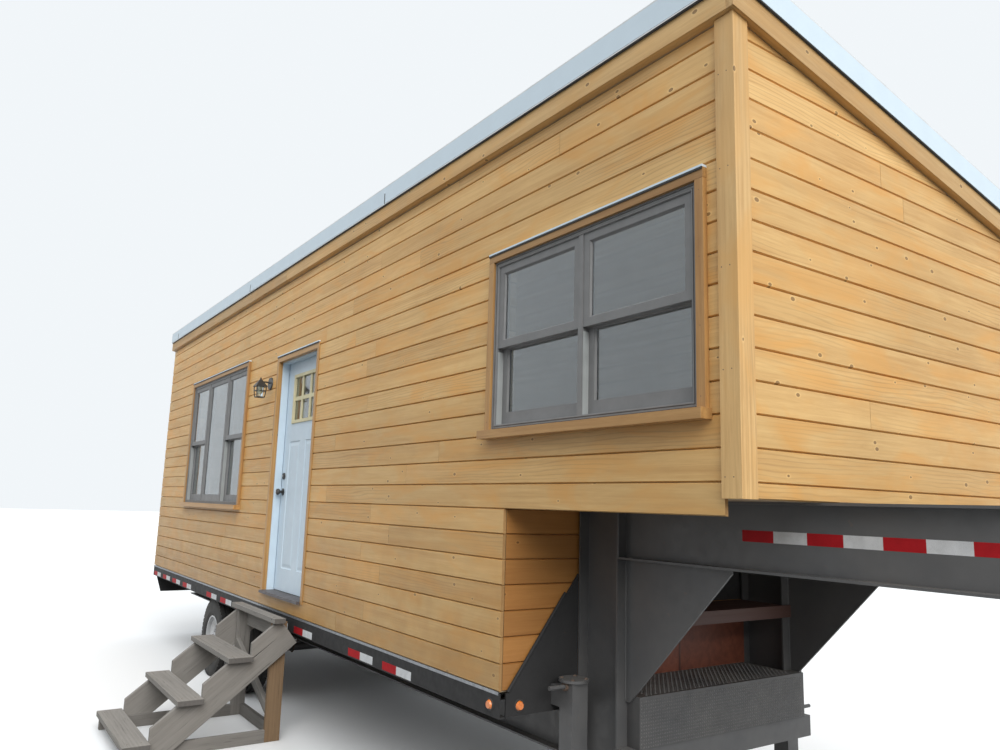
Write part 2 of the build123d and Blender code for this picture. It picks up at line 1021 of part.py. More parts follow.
rail_low = deck_z - rail_height
with BuildPart() as end_plates:
    across(
        [
            (y_near, deck_z),
            (y_near + rear_plate_taper, rear_plate_bottom),
            (y_far - rear_plate_taper, rear_plate_bottom),
            (y_far, deck_z),
        ],
        x_rear - rear_plate_thickness,
        x_rear,
    )
    for y_outer, inward in ((y_near, 1), (y_far, -1)):
        y_inner = y_outer + inward * beam_inset
        y_edge = y_outer + inward * wing_inset
        y_ledge = y_edge + inward * wing_ledge
        across(
            [
                (y_edge, rail_low),
                (y_edge, deck_z),
                (y_ledge, deck_z),
                (y_inner, wing_top_z),
                (y_inner, rail_low),
            ],
            x_wing,
            x_wing + wing_thickness,
        )
        edge = Vector(0, y_inner - y_ledge, wing_top_z - deck_z)
        above = edge.normalized().cross(Vector(-inward, 0, 0)) * (edge_bar - 1)
        foot = Vector(x_wing + wing_thickness / 2, y_ledge, deck_z) + above
        with BuildSketch(Plane(origin=foot, z_dir=edge)) as bar_end:
            Circle(edge_bar)
        extrude(bar_end.sketch, amount=edge.length * edge_bar_share)
save(end_plates, "end_plates")

# Tool box between the risers, the beam under it, and the shelf over it
box_span = (y_near + beam_inset + beam_flange, y_far - beam_inset - beam_flange)
box_front = (beam_y[0] + gusset_plate / 2, beam_y[1] - gusset_plate / 2)
with BuildPart() as toolbox:
    block(x_wing + wing_thickness, x_riser, *box_span, box_bottom_z, box_top_z)
    block(x_riser, x_riser + box_reach, *box_front, box_bottom_z, box_top_z)
save(toolbox, "toolbox")

with BuildPart() as shelf:
    block(x_wing + wing_thickness, x_riser, *box_span, shelf_z - panel_board, shelf_z)
    block(
        x_riser,
        x_riser + panel_board,
        *box_front,
        shelf_z - shelf_edge,
        shelf_z,
    )
save(shelf, "shelf")

with BuildPart() as red_panel:
    block(
        x_wing + wing_thickness,
        x_wing + wing_thickness + panel_board,
        *box_span,
        box_top_z,
        shelf_z - panel_board,
    )
save(red_panel, "red_panel")

# Nose and coupler
coupler_x = x_nose - coupler_from_nose
sleeve_radius = coupler_radius + sleeve_wall
with BuildPart() as crossbeams:
    block(
        x_riser,
        x_riser + box_reach - beam_flange_thickness,
        y_near + beam_inset,
        y_far - beam_inset,
        box_bottom_z - brace_beam,
        box_bottom_z,
    )
    in_riser = x_riser - beam_height + beam_flange_thickness
    for x in (coupler_x - sleeve_radius - neck_cross, coupler_x + sleeve_radius, in_riser):
        block(
            x,
            x + neck_cross,
            beam_y[0] + beam_web / 2,
            beam_y[1] - beam_web / 2,
            neck_top_z - beam_height + neck_cross_inset,
            neck_top_z - neck_cross_inset,
        )
save(crossbeams, "crossbeams")

with BuildPart() as coupler:
    with BuildSketch(Plane.XY.offset(coupler_bottom_z)) as post:
        with Locations((coupler_x, y_mid)):
            Circle(coupler_radius)
    extrude(post.sketch, amount=neck_top_z - neck_cross_inset - coupler_bottom_z)
    with BuildSketch(Plane.XY.offset(neck_top_z - beam_height + sleeve_inset)) as sleeve:
        with Locations((coupler_x, y_mid)):
            Circle(sleeve_radius)
    extrude(sleeve.sketch, amount=beam_height - 3 * sleeve_inset)
    with BuildSketch(Plane.XY.offset(coupler_bottom_z)) as socket:
        with Locations((coupler_x, y_mid)):
            Circle(coupler_bore)
    extrude(socket.sketch, amount=coupler_depth, mode=Mode.SUBTRACT)
save(coupler, "coupler")

# Running gear
axle_places = [axle_x - axle_spread / 2, axle_x + axle_spread / 2]
wheel_y = [y_near + wheel_inset + tyre_width / 2, y_far - wheel_inset - tyre_width / 2]
with BuildPart() as tyres:
    for x in axle_places:
        for y in wheel_y:
            plane = Plane(origin=(x, y, tyre_radius), x_dir=(0, 0, 1), z_dir=(1, 0, 0))
            with BuildSketch(plane) as section:
                with Locations(((rim_radius + tyre_radius) / 2, 0)):
                    RectangleRounded(tyre_radius - rim_radius, tyre_width, tyre_shoulder)
            revolve(section.sketch, axis=Axis((x, y, tyre_radius), (0, 1, 0)))
save(tyres, "tyres")

# Dished steel wheels with hand holes and a hub cap; points are radius and reach outward
barrel = rim_radius - rim_wall
disc_z = 52
hub_radius = 48
rim_profile = [
    (barrel, -rim_half),
    (rim_radius + rim_lip, -rim_half),
    (rim_radius, -rim_half + rim_edge),
    (rim_radius, rim_half - rim_edge),
    (rim_radius + rim_lip, rim_half),
    (barrel, rim_half),
    (barrel - 2, disc_z + 12),
    (barrel - 40, disc_z - 16),
    (barrel - 112, disc_z),
    (hub_radius, disc_z),
    (hub_radius - 4, disc_z + 32),
    (0, disc_z + 38),
    (0, disc_z - rim_wall),
    (barrel - 114, disc_z - rim_wall),
    (barrel - 44, disc_z - 16 - rim_wall),
    (barrel, disc_z),
]
with BuildPart() as rims:
    for x in axle_places:
        for y, outward in ((wheel_y[0], -1), (wheel_y[1], 1)):
            centre = (x, y, tyre_radius)
            plane = Plane(origin=centre, x_dir=(1, 0, 0), z_dir=(0, 0, 1))
            with BuildSketch(plane) as section:
                with BuildLine():
                    Polyline(*[(r, outward * d) for r, d in rim_profile], close=True)
                make_face()
            revolve(section.sketch, axis=Axis(centre, (0, 1, 0)))
            with BuildSketch(Plane(origin=centre, x_dir=(1, 0, 0), z_dir=(0, outward, 0))) as holes:
                with PolarLocations(barrel - 74, hand_holes):
                    Circle(rim_wall * 2)
            extrude(holes.sketch, amount=disc_z + rim_wall, mode=Mode.SUBTRACT)
save(rims, "rims")

spring_low = tyre_radius + axle_radius + axle_pad
with BuildPart() as axles:
    for x in axle_places:
        reach = disc_z - rim_wall
        plane = Plane(origin=(x, wheel_y[0] - reach, tyre_radius), x_dir=(1, 0, 0), z_dir=(0, 1, 0))
        with BuildSketch(plane) as tube:
            Circle(axle_radius)
        extrude(tube.sketch, amount=wheel_y[1] - wheel_y[0] + 2 * reach)
        for y in beam_y:
            block(
                x - axle_pad_width / 2,
                x + axle_pad_width / 2,
                y - spring_width / 2,
                y + spring_width / 2,
                tyre_radius,
                spring_low,
            )
save(axles, "axles")

# Leaf springs: three curved leaves, with an eye and a hanger at each end of the longest
curve_low = spring_low + spring_leaf * len(spring_spans)
curve_centre = curve_low + spring_radius


def arc_ends(x, radius, span):
    """The two ends and the lowest point of an arc about the springs' centre of curvature."""
    rise = (radius**2 - span**2) ** 0.5
    return (x - span, curve_centre - rise), (x, curve_centre - radius), (x + span, curve_centre - rise)


with BuildPart() as springs:
    for x in axle_places:
        for y in beam_y:
            with BuildSketch(Plane.XZ.offset(-y - spring_width / 2)) as pack:
                for i, span in enumerate(spring_spans):
                    top = arc_ends(x, spring_radius + i * spring_leaf, span)
                    low = arc_ends(x, spring_radius + (i + 1) * spring_leaf, span)
                    with BuildLine():
                        ThreePointArc(*top)
                        Line(top[2], low[2])
                        ThreePointArc(*low)
                        Line(low[0], top[0])
                    make_face()
                for end in (arc_ends(x, spring_radius, spring_spans[0])[i] for i in (0, 2)):
                    with Locations(end):
                        Circle(spring_eye)
                    hanger = beam_bottom_z - end[1]
                    with Locations((end[0], end[1] + hanger / 2)):
                        Rectangle(2 * spring_eye, hanger)
            extrude(pack.sketch, amount=spring_width)
save(springs, "springs")

# Landing jacks: square tubes with a round cap and a crank; the far crank has its handle on
jack_centre = x_step + jack_x
jack_places = [(y_near + jack_y, -1), (y_far - jack_y, 1)]
with BuildPart() as jacks:
    for y, outward in jack_places:
        for size, z0, z1 in (
            (jack_tube, jack_leg_z, jack_top_z - jack_cap),
            (jack_leg, jack_foot_plate, jack_leg_z),
            (jack_foot, 0, jack_foot_plate),
        ):
            with BuildSketch(Plane.XY.offset(z0)) as leg:
                with Locations((jack_centre, y)):
                    Rectangle(size, size)
            extrude(leg.sketch, amount=z1 - z0)
        with BuildSketch(Plane.XY.offset(jack_top_z - jack_cap)) as cap:
            with Locations((jack_centre, y)):
                Circle(jack_cap_radius)
        extrude(cap.sketch, amount=jack_cap)
        shaft = Plane(origin=(jack_centre, y, crank_z), x_dir=(1, 0, 0), z_dir=(0, outward, 0))
        with BuildSketch(shaft) as stub:
            Circle(crank_radius)
        if outward < 0:
            extrude(stub.sketch, amount=jack_tube / 2 + crank_stub)
            continue
        elbow = y + outward * (jack_tube / 2 + crank_stub)
        with BuildLine() as crank:
            FilletPolyline(
                (jack_centre, y, crank_z),
                (jack_centre, elbow, crank_z),
                (jack_centre, elbow, crank_z - crank_drop),
                (jack_centre, elbow + outward * crank_grip, crank_z - crank_drop),
                radius=3 * crank_radius,
            )
        sweep(stub.sketch, path=crank.line)
save(jacks, "jacks")

with BuildPart() as jack_brackets:
    for y, outward in jack_places:
        z0 = deck_z - bracket_low
        block(
            x_wing + wing_thickness,
            jack_centre - jack_tube / 2,
            y - jack_tube / 2,
            y + jack_tube / 2,
            z0,
            z0 + bracket_height,
        )
save(jack_brackets, "jack_brackets")

# Round marker lamps, one on each rail and one on each wing plate
def lamp(origin, outward):
    """A low domed lens standing off a face."""
    with BuildSketch(Plane(origin=origin, z_dir=outward)) as lens:
        Circle(lamp_radius)
    extrude(lens.sketch, amount=lamp_depth, taper=30)


with BuildPart() as marker_lamps:
    for y, outward in ((y_near, -1), (y_far, 1)):
        lamp((x_step - rail_lamp_from_step, y, lamp_z), (0, outward, 0))
        lamp((x_wing + wing_thickness, y - outward * plate_lamp_in, lamp_z), (1, 0, 0))
save(marker_lamps, "marker_lamps")

# Entry steps
y_steps_front = y_near - step_reach
x_left = step_x - step_length / 2
x_right = step_x + step_length / 2
tread_tops = [first_tread_z + i * step_rise for i in range(tread_count + 1)]
tread_backs = [y_steps_front + tread_depth + i * tread_run for i in range(tread_count)]
plank_slope = step_rise / tread_run
plank_height = plank_depth * (1 + plank_slope**2) ** 0.5


def plank_top(y):
    """Height of the planks' upper edge."""
    return first_tread_z + tooth_height + plank_slope * (y - tread_backs[0])


def plank_top_y(z):
    """Where the planks' upper edge reaches a height."""
    return tread_backs[0] + (z - first_tread_z - tooth_height) / plank_slope


# The planks' lower edge meets the ground here, and their square upper end stops at the rail
foot_y = plank_top_y(plank_height)
end_y = y_near - contact
end_z = plank_top(end_y) - plank_height
seat_z = tread_tops[-1] - lumber
seat_y = plank_top_y(seat_z)
seat_end_y = end_y - (seat_z - end_z) * plank_slope
post_front = end_y - post_in - post_width
post_back = end_y - post_in


def plank_points(split):
    """A sloping plank with a level foot, a notch for each tread and a seat for the top board."""
    foot_front = y_steps_front + foot_setback
    points = [(foot_front, 0), (foot_front, tread_tops[0] - lumber)]
    for i, back in enumerate(tread_backs):
        notch = tread_tops[i] - lumber
        if i > 0:
            points.append((plank_top_y(notch), notch))
        points.append((back, notch))
        if split and i == tread_count - 1:
            crack = (seat_end_y - back) * split_share
            points.append((back + crack, notch + plank_slope * crack))
            points.append((back, notch + split_width))
        points.append((back, plank_top(back)))
    return points + [(seat_y, seat_z), (seat_end_y, seat_z), (end_y, end_z), (foot_y, 0)]


far_plank = x_left + plank_inset
near_plank = x_right - plank_inset - lumber
with BuildPart() as stair_stringers:
    across(plank_points(False), far_plank, far_plank + lumber)
    across(plank_points(True), near_plank, near_plank + lumber)
save(stair_stringers, "stair_stringers")

with BuildPart() as stair_treads:
    for back, top in zip(tread_backs, tread_tops):
        block(x_left, x_right, back - tread_depth, back, top - lumber, top)
    block(x_left, x_right, seat_end_y - top_board, seat_end_y, seat_z, tread_tops[-1])
save(stair_treads, "stair_treads")

# Posts inside the planks, with the boards that tie them together
far_post = far_plank + lumber
near_post = near_plank - lumber
with BuildPart() as stair_posts:
    for x0 in (far_post, near_post):
        block(x0, x0 + lumber, post_front, post_back, 0, seat_z)
save(stair_posts, "stair_posts")

with BuildPart() as stair_braces:
    between = (far_post + lumber, near_post)
    block(*between, post_back - lumber, post_back, seat_z - back_board, seat_z)
    block(*between, post_back - lumber, post_back, 0, tie_height)
    for x0 in (far_post, near_post):
        block(x0, x0 + lumber, tread_backs[0] + foot_setback, post_front, 0, tie_height)
    along(
        [
            (between[0], brace_far_z),
            (between[1], brace_near_z),
            (between[1], brace_near_z + brace_height),
            (between[0], brace_far_z + brace_height),
        ],
        post_front,
        post_front + lumber,
    )
save(stair_braces, "stair_braces")
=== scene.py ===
"""Looks for the tiny house on a gooseneck trailer: boards, trim, paint, metal, light and camera.

Metres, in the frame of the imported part: +X along the house to the coupler, +Y from the door wall, +Z up.
"""

import json
import math
import random

import bmesh
import bpy
import numpy as np
from mathutils import Matrix, Vector

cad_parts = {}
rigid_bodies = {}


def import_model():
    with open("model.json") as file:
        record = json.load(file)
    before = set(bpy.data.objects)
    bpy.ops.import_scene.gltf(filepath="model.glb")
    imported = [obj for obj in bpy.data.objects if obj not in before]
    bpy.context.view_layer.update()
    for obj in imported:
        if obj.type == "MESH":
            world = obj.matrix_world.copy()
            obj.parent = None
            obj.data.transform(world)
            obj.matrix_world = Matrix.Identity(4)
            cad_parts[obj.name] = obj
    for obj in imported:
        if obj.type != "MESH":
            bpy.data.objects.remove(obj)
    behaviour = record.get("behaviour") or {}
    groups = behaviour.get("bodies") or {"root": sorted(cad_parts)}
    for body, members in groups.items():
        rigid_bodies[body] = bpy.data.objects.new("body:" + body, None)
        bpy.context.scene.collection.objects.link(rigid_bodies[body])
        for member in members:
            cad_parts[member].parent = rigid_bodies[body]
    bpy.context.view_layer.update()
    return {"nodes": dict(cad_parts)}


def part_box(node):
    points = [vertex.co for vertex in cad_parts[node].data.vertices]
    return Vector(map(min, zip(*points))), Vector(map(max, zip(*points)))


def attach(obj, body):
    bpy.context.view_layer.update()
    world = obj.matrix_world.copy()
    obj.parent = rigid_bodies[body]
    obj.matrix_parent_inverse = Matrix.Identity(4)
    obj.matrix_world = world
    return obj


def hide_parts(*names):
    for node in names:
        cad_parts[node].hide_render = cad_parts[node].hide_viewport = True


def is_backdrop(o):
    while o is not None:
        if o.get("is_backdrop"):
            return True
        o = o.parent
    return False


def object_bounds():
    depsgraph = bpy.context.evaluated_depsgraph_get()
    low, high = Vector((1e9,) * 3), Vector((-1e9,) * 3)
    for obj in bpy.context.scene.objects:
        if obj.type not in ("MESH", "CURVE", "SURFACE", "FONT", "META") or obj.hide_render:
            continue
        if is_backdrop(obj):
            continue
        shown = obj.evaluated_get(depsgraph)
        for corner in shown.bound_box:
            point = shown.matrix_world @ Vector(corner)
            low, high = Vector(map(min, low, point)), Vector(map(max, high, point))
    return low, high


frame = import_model()
scene = bpy.context.scene
dice = random.Random(7)

# Places read from the frame
side_low, side_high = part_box("side_siding")
x_rear, x_front = side_low.x, side_high.x
y_near, y_far = side_low.y, side_high.y
y_mid = (y_near + y_far) / 2
wall_base, wall_top = side_low.z, side_high.z
x_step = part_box("step_siding")[1].x
neck_low, neck_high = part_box("neck_beams")
x_nose = neck_high.x
shelf_low, shelf_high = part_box("shelf")

# Sizes of the part that it doesn't give by a box
skin = 0.018
skirt = 1.814
loft_floor = 1.88
corner_side = 0.076
roof_fall = 0.194
roof_normal = Vector((0, roof_fall, 1)).normalized()
x_way, y_way, z_way = Vector((1, 0, 0)), Vector((0, 1, 0)), Vector((0, 0, 1))

# How far an added detail reaches into what carries it
hair = 0.0002
graze = 0.0005
sunk = 0.001


# Making and finishing pieces

def show(name, data):
    """Put a new object in the scene."""
    made = bpy.data.objects.new(name, data)
    scene.collection.objects.link(made)
    return made


def piece(name, bm, materials, body="house", replaces=(), smooth=None):
    """Make an object of a finished bmesh, riding on a body."""
    bmesh.ops.recalc_face_normals(bm, faces=bm.faces)
    mesh = bpy.data.meshes.new(name)
    bm.to_mesh(mesh)
    bm.free()
    for material in materials.split():
        mesh.materials.append(looks[material])
    if smooth is not None:
        mesh.shade_smooth()
        mesh.set_sharp_from_angle(angle=math.radians(smooth))
    made = show(name, mesh)
    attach(made, body)
    if replaces:
        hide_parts(*replaces)


def new_mesh():
    """An empty bmesh with the layers that the wood materials read."""
    bm = bmesh.new()
    bm.verts.layers.float_vector.new("grain")
    bm.verts.layers.float.new("tone")
    return bm


def mark(bm, verts, axis, tone, shift):
    """Give one board its own grain direction, place in the wood and tone."""
    grain = bm.verts.layers.float_vector["grain"]
    shade = bm.verts.layers.float["tone"]
    along = Vector(axis).normalized()
    across = along.cross(z_way)
    across = y_way if across.length < 0.3 else across.normalized()
    third = along.cross(across)
    for v in verts:
        v[grain] = Vector((v.co.dot(along), v.co.dot(across), v.co.dot(third))) + shift
        v[shade] = tone


def wood_shift():
    """A random place in the wood pattern, far from every other board's."""
    return Vector([dice.uniform(0, 40) for _ in range(3)])


def wrap(bm, loop, after, material=0):
    """Faces all the way round between two closed loops of vertices."""
    for i in range(len(loop)):
        j = (i + 1) % len(loop)
        bm.faces.new((loop[i], loop[j], after[j], after[i])).material_index = material


def closed(bm, base, top, sides=0, ends=0):
    """A closed solid between two loops, with the material numbers of its sides and ends."""
    for loop in (base[::-1], top):
        bm.faces.new(loop).material_index = ends
    wrap(bm, base, top, sides)
    return base + top


def prism(bm, corners, run, sides=0, ends=0):
    """A closed prism: a polygon of points, carried along a vector."""
    base = [bm.verts.new(Vector(c)) for c in corners]
    top = [bm.verts.new(Vector(c) + Vector(run)) for c in corners]
    return closed(bm, base, top, sides, ends)


def brick(bm, one, other, material=0):
    """A block between two opposite corners."""
    (x0, x1), (y0, y1), (z0, z1) = (sorted(pair) for pair in zip(one, other))
    prism(bm, [(x0, y0, z0), (x1, y0, z0), (x1, y1, z0), (x0, y1, z0)], (0, 0, z1 - z0), material, material)


def outline(low, high):
    """The edges of an upright rectangle along X: left, right, bottom and top."""
    return low.x, high.x, low.z, high.z


def upright(bm, edges, inset, y):
    """Four corners of an upright rectangle, drawn in from its edges."""
    x0, x1, z0, z1 = edges
    a, b, c, d = x0 + inset, x1 - inset, z0 + inset, z1 - inset
    return [bm.verts.new(point) for point in ((a, y, c), (b, y, c), (b, y, d), (a, y, d))]


def joined(bm, loops):
    """Skin a row of loops, the last one back to the first."""
    for i, loop in enumerate(loops):
        wrap(bm, loop, loops[(i + 1) % len(loops)])


def framed(bm, edges, section):
    """A mitred frame: its section is a closed list of (inset, y)."""
    joined(bm, [upright(bm, edges, inset, y) for inset, y in section])


def raised(bm, edges, y_base, y_top, slope):
    """A raised field with sloping sides."""
    closed(bm, upright(bm, edges, 0, y_base), upright(bm, edges, slope, y_top))


def spokes(count, start=0):
    """Directions round a line along Y, at even angles."""
    angles = [start + 2 * math.pi * i / count for i in range(count)]
    return [Vector((math.cos(angle), 0, math.sin(angle))) for angle in angles]


def turned(bm, centre, profile, segments=72):
    """A ring turned about a line along Y: its section is a closed list of (radius, offset)."""
    joined(bm, [[bm.verts.new(centre + way * r + y_way * w) for r, w in profile] for way in spokes(segments)])


def rod(bm, start, end, radius, sides=12, tip=None):
    """A round or many-sided bar, with its own radius at the far end."""
    start, end = Vector(start), Vector(end)
    turn = (end - start).to_track_quat("Z", "Y").to_matrix().to_4x4()
    bmesh.ops.create_cone(
        bm,
        cap_ends=True,
        segments=sides,
        radius1=radius,
        radius2=radius if tip is None else tip,
        depth=(end - start).length,
        matrix=Matrix.Translation((start + end) / 2) @ turn,
    )


def peg(bm, at, way, start, end, radius, sides=12, tip=None):
    """A rod between two distances from a place. A tuple named for such a rod holds all that follows its way."""
    rod(bm, at + way * start, at + way * end, radius, sides, tip)


def bent(bm, points, radius, sides=10):
    """A bar through several points, with a ball at each bend."""
    for a, b in zip(points[:-1], points[1:]):
        rod(bm, a, b, radius, sides)
    for q in points[1:-1]:
        bmesh.ops.create_icosphere(bm, subdivisions=1, radius=radius, matrix=Matrix.Translation(q))


def weld(bm, start, end, size=0.004, step=0.016):
    """A weld bead of uneven ripples."""
    start, end = Vector(start), Vector(end)
    count = max(2, int((end - start).length / step))
    width = [size * dice.uniform(0.75, 1.2) for _ in range(count + 1)]
    for i in range(count):
        rod(bm, start.lerp(end, i / count), start.lerp(end, (i + 1) / count), width[i], 6, width[i + 1])


def bolt(bm, at, way, size, height, washer=0.002):
    """A hexagon head, on a washer where it has one."""
    if washer:
        peg(bm, Vector(at), way, -sunk, washer, size * 1.5, 16)
    peg(bm, Vector(at), way, -sunk, height, size, 6)


def copied(bm, node):
    """Copy a CAD node's mesh, with its doubled points joined."""
    bm.from_mesh(frame["nodes"][node].data)
    bmesh.ops.remove_doubles(bm, verts=bm.verts, dist=2e-5)


def islands(bm):
    """The vertices of each separate solid."""
    left = set(bm.verts)
    found = []
    while left:
        group = [left.pop()]
        for v in group:
            for edge in v.link_edges:
                other = edge.other_vert(v)
                if other in left:
                    left.remove(other)
                    group.append(other)
        found.append(sorted(group, key=lambda v: v.index))
    return sorted(found, key=lambda g: g[0].index)


def solids(node):
    """The corners of each separate solid of a CAD node."""
    bm = bmesh.new()
    copied(bm, node)
    bm.verts.index_update()
    found = []
    for group in islands(bm):
        low, high = (Vector(pick(v.co[i] for v in group) for i in range(3)) for pick in (min, max))
        found.append((low, high))
    bm.free()
    return found


def outer_face(low, high):
    """Which way is out for a solid at the near or the far wall, and where its outer face is."""
    return (-1, low.y) if low.y < y_mid else (1, high.y)


def long_axis(group):
    """The direction in which a solid is longest."""
    points = np.array([v.co for v in group])
    centred = points - points.mean(axis=0)
    return Vector(np.linalg.svd(centred, full_matrices=False)[2][0])


def bisect(bm, at, normal, **options):
    """Cut a whole mesh at a plane."""
    geometry = list(bm.verts) + list(bm.edges) + list(bm.faces)
    bmesh.ops.bisect_plane(bm, geom=geometry, plane_co=at, plane_no=normal, **options)


def fill_holes(bm):
    bmesh.ops.holes_fill(bm, edges=[e for e in bm.edges if len(e.link_faces) == 1])


def saw(bm, x, kerf=0.0035):
    """Saw every solid across at one place along X, leaving a narrow joint."""
    for cut in (x - kerf / 2, x + kerf / 2):
        bisect(bm, (cut, 0, 0), (1, 0, 0))
    waste = [f for f in bm.faces if abs(f.calc_center_median().x - x) < kerf / 4]
    bmesh.ops.delete(bm, geom=waste, context="FACES")
    fill_holes(bm)


def dressed(name, node, materials, bevel=0.002, joint=None, browner=math.inf):
    """Stand in for a node of boards: eased edges, and each board with its own grain and tone.

    A second material goes on the boards' ends, and a third one on whole boards beyond a place along X.
    """
    bm = new_mesh()
    copied(bm, node)
    bmesh.ops.dissolve_limit(bm, angle_limit=0.01, verts=bm.verts, edges=bm.edges)
    if joint is not None:
        saw(bm, joint)
    sharp = [e for e in bm.edges if len(e.link_faces) == 2 and e.calc_face_angle(0) > 0.4]
    bmesh.ops.bevel(bm, geom=sharp, offset=bevel, segments=2, profile=0.6, affect="EDGES", clamp_overlap=True)
    bm.normal_update()
    bm.verts.index_update()
    for group in islands(bm):
        axis = long_axis(group)
        mark(bm, group, axis, dice.random(), wood_shift())
        centre = sum((v.co for v in group), Vector()) / len(group)
        for face in {f for v in group for f in v.link_faces}:
            is_end = " " in materials and abs(face.normal.dot(axis)) > 0.85
            face.material_index = 2 if centre.x > browner else int(is_end)
    piece(name, bm, materials, "house", (node,))


# Materials, by name

looks = {}


class Nodes:
    """A shader node tree under construction; its methods return sockets."""

    def __init__(self, tree):
        self.tree = tree

    def feed(self, socket, value):
        """Link a socket or set a constant."""
        if isinstance(value, bpy.types.NodeSocket):
            self.tree.links.new(value, socket)
        elif value is not None:
            socket.default_value = value

    def node(self, kind, inputs=(), **settings):
        """Add a node, set its properties, and fill or link its inputs."""
        made = self.tree.nodes.new("ShaderNode" + kind)
        for key, value in settings.items():
            setattr(made, key, value)
        for key, value in dict(inputs).items():
            self.feed(made.inputs[key], value)
        return made

    def parts(self, vector):
        """The three numbers of a vector."""
        return self.node("SeparateXYZ", {0: vector}).outputs

    def math(self, operation, a, b=None, c=None):
        return self.node("Math", {0: a, 1: b, 2: c}, operation=operation).outputs[0]

    def times(self, a, b):
        return self.math("MULTIPLY", a, b)

    def seen_directly(self):
        """1 where the eye, a mirror or glass looks at the backdrop, and 0 for light that it gives."""
        path = self.node("LightPath").outputs
        direct = self.math("MAXIMUM", path["Is Camera Ray"], path["Is Glossy Ray"])
        return self.math("MAXIMUM", direct, path["Is Transmission Ray"])


class Paint(Nodes):
    """A procedural material."""

    def __init__(self, name, roughness=0.5, metallic=0, **constants):
        looks[name] = bpy.data.materials.new(name)
        looks[name].use_nodes = True
        super().__init__(looks[name].node_tree)
        self.shader = self.tree.nodes["Principled BSDF"]
        for key, value in {"Roughness": roughness, "Metallic": metallic, **constants}.items():
            self.shader.inputs[key.replace("_", " ")].default_value = value

    def objects(self):
        """Position in the row frame, before any pose."""
        return self.node("TexCoord").outputs["Object"]

    def attribute(self, name, output="Vector"):
        return self.node("Attribute", attribute_name=name).outputs[output]

    def scaled(self, vector, factors):
        return self.node("VectorMath", {0: vector, 1: factors}, operation="MULTIPLY").outputs[0]

    def dimmed(self, colour, by):
        """A colour times a number."""
        return self.node("VectorMath", {0: colour, "Scale": by}, operation="SCALE").outputs[0]

    def noise(self, vector, scale, detail=4, roughness=0.55, distortion=0):
        values = {"Vector": vector, "Scale": scale, "Detail": detail, "Roughness": roughness}
        return self.node("TexNoise", {**values, "Distortion": distortion}).outputs["Fac"]

    def drawn(self, vector, factors, *shape):
        """Noise with its own scale along each axis."""
        return self.noise(self.scaled(vector, factors), 1, *shape)

    def span(self, value, low, high, to_low=0, to_high=1):
        """Carry one range to another, clamped."""
        values = {"Value": value, "From Min": low, "From Max": high, "To Min": to_low, "To Max": to_high}
        return self.node("MapRange", values).outputs[0]

    def patches(self, scale, detail, to_low=0, to_high=1, roughness=0.55, low=0.3, high=0.7):
        """Soft patches over the object, between two values."""
        return self.span(self.noise(self.objects(), scale, detail, roughness), low, high, to_low, to_high)

    def mix(self, share, a, b):
        """Blend two colours, each a socket or three numbers."""
        made = self.node("Mix", {0: share}, data_type="RGBA")
        for key, value in ((6, a), (7, b)):
            self.feed(made.inputs[key], value if isinstance(value, bpy.types.NodeSocket) else (*value, 1))
        return made.outputs[2]

    def paint(self, colour):
        self.feed(self.shader.inputs["Base Color"], colour)

    def rough(self, value):
        self.feed(self.shader.inputs["Roughness"], value)

    def bump(self, height, strength=0.3, distance=0.001):
        made = self.node("Bump", {"Height": height, "Strength": strength, "Distance": distance})
        self.feed(self.shader.inputs["Normal"], made.outputs[0])


def tint(colour, by):
    """Three constant numbers of a colour, times one number."""
    return [c * by for c in colour]


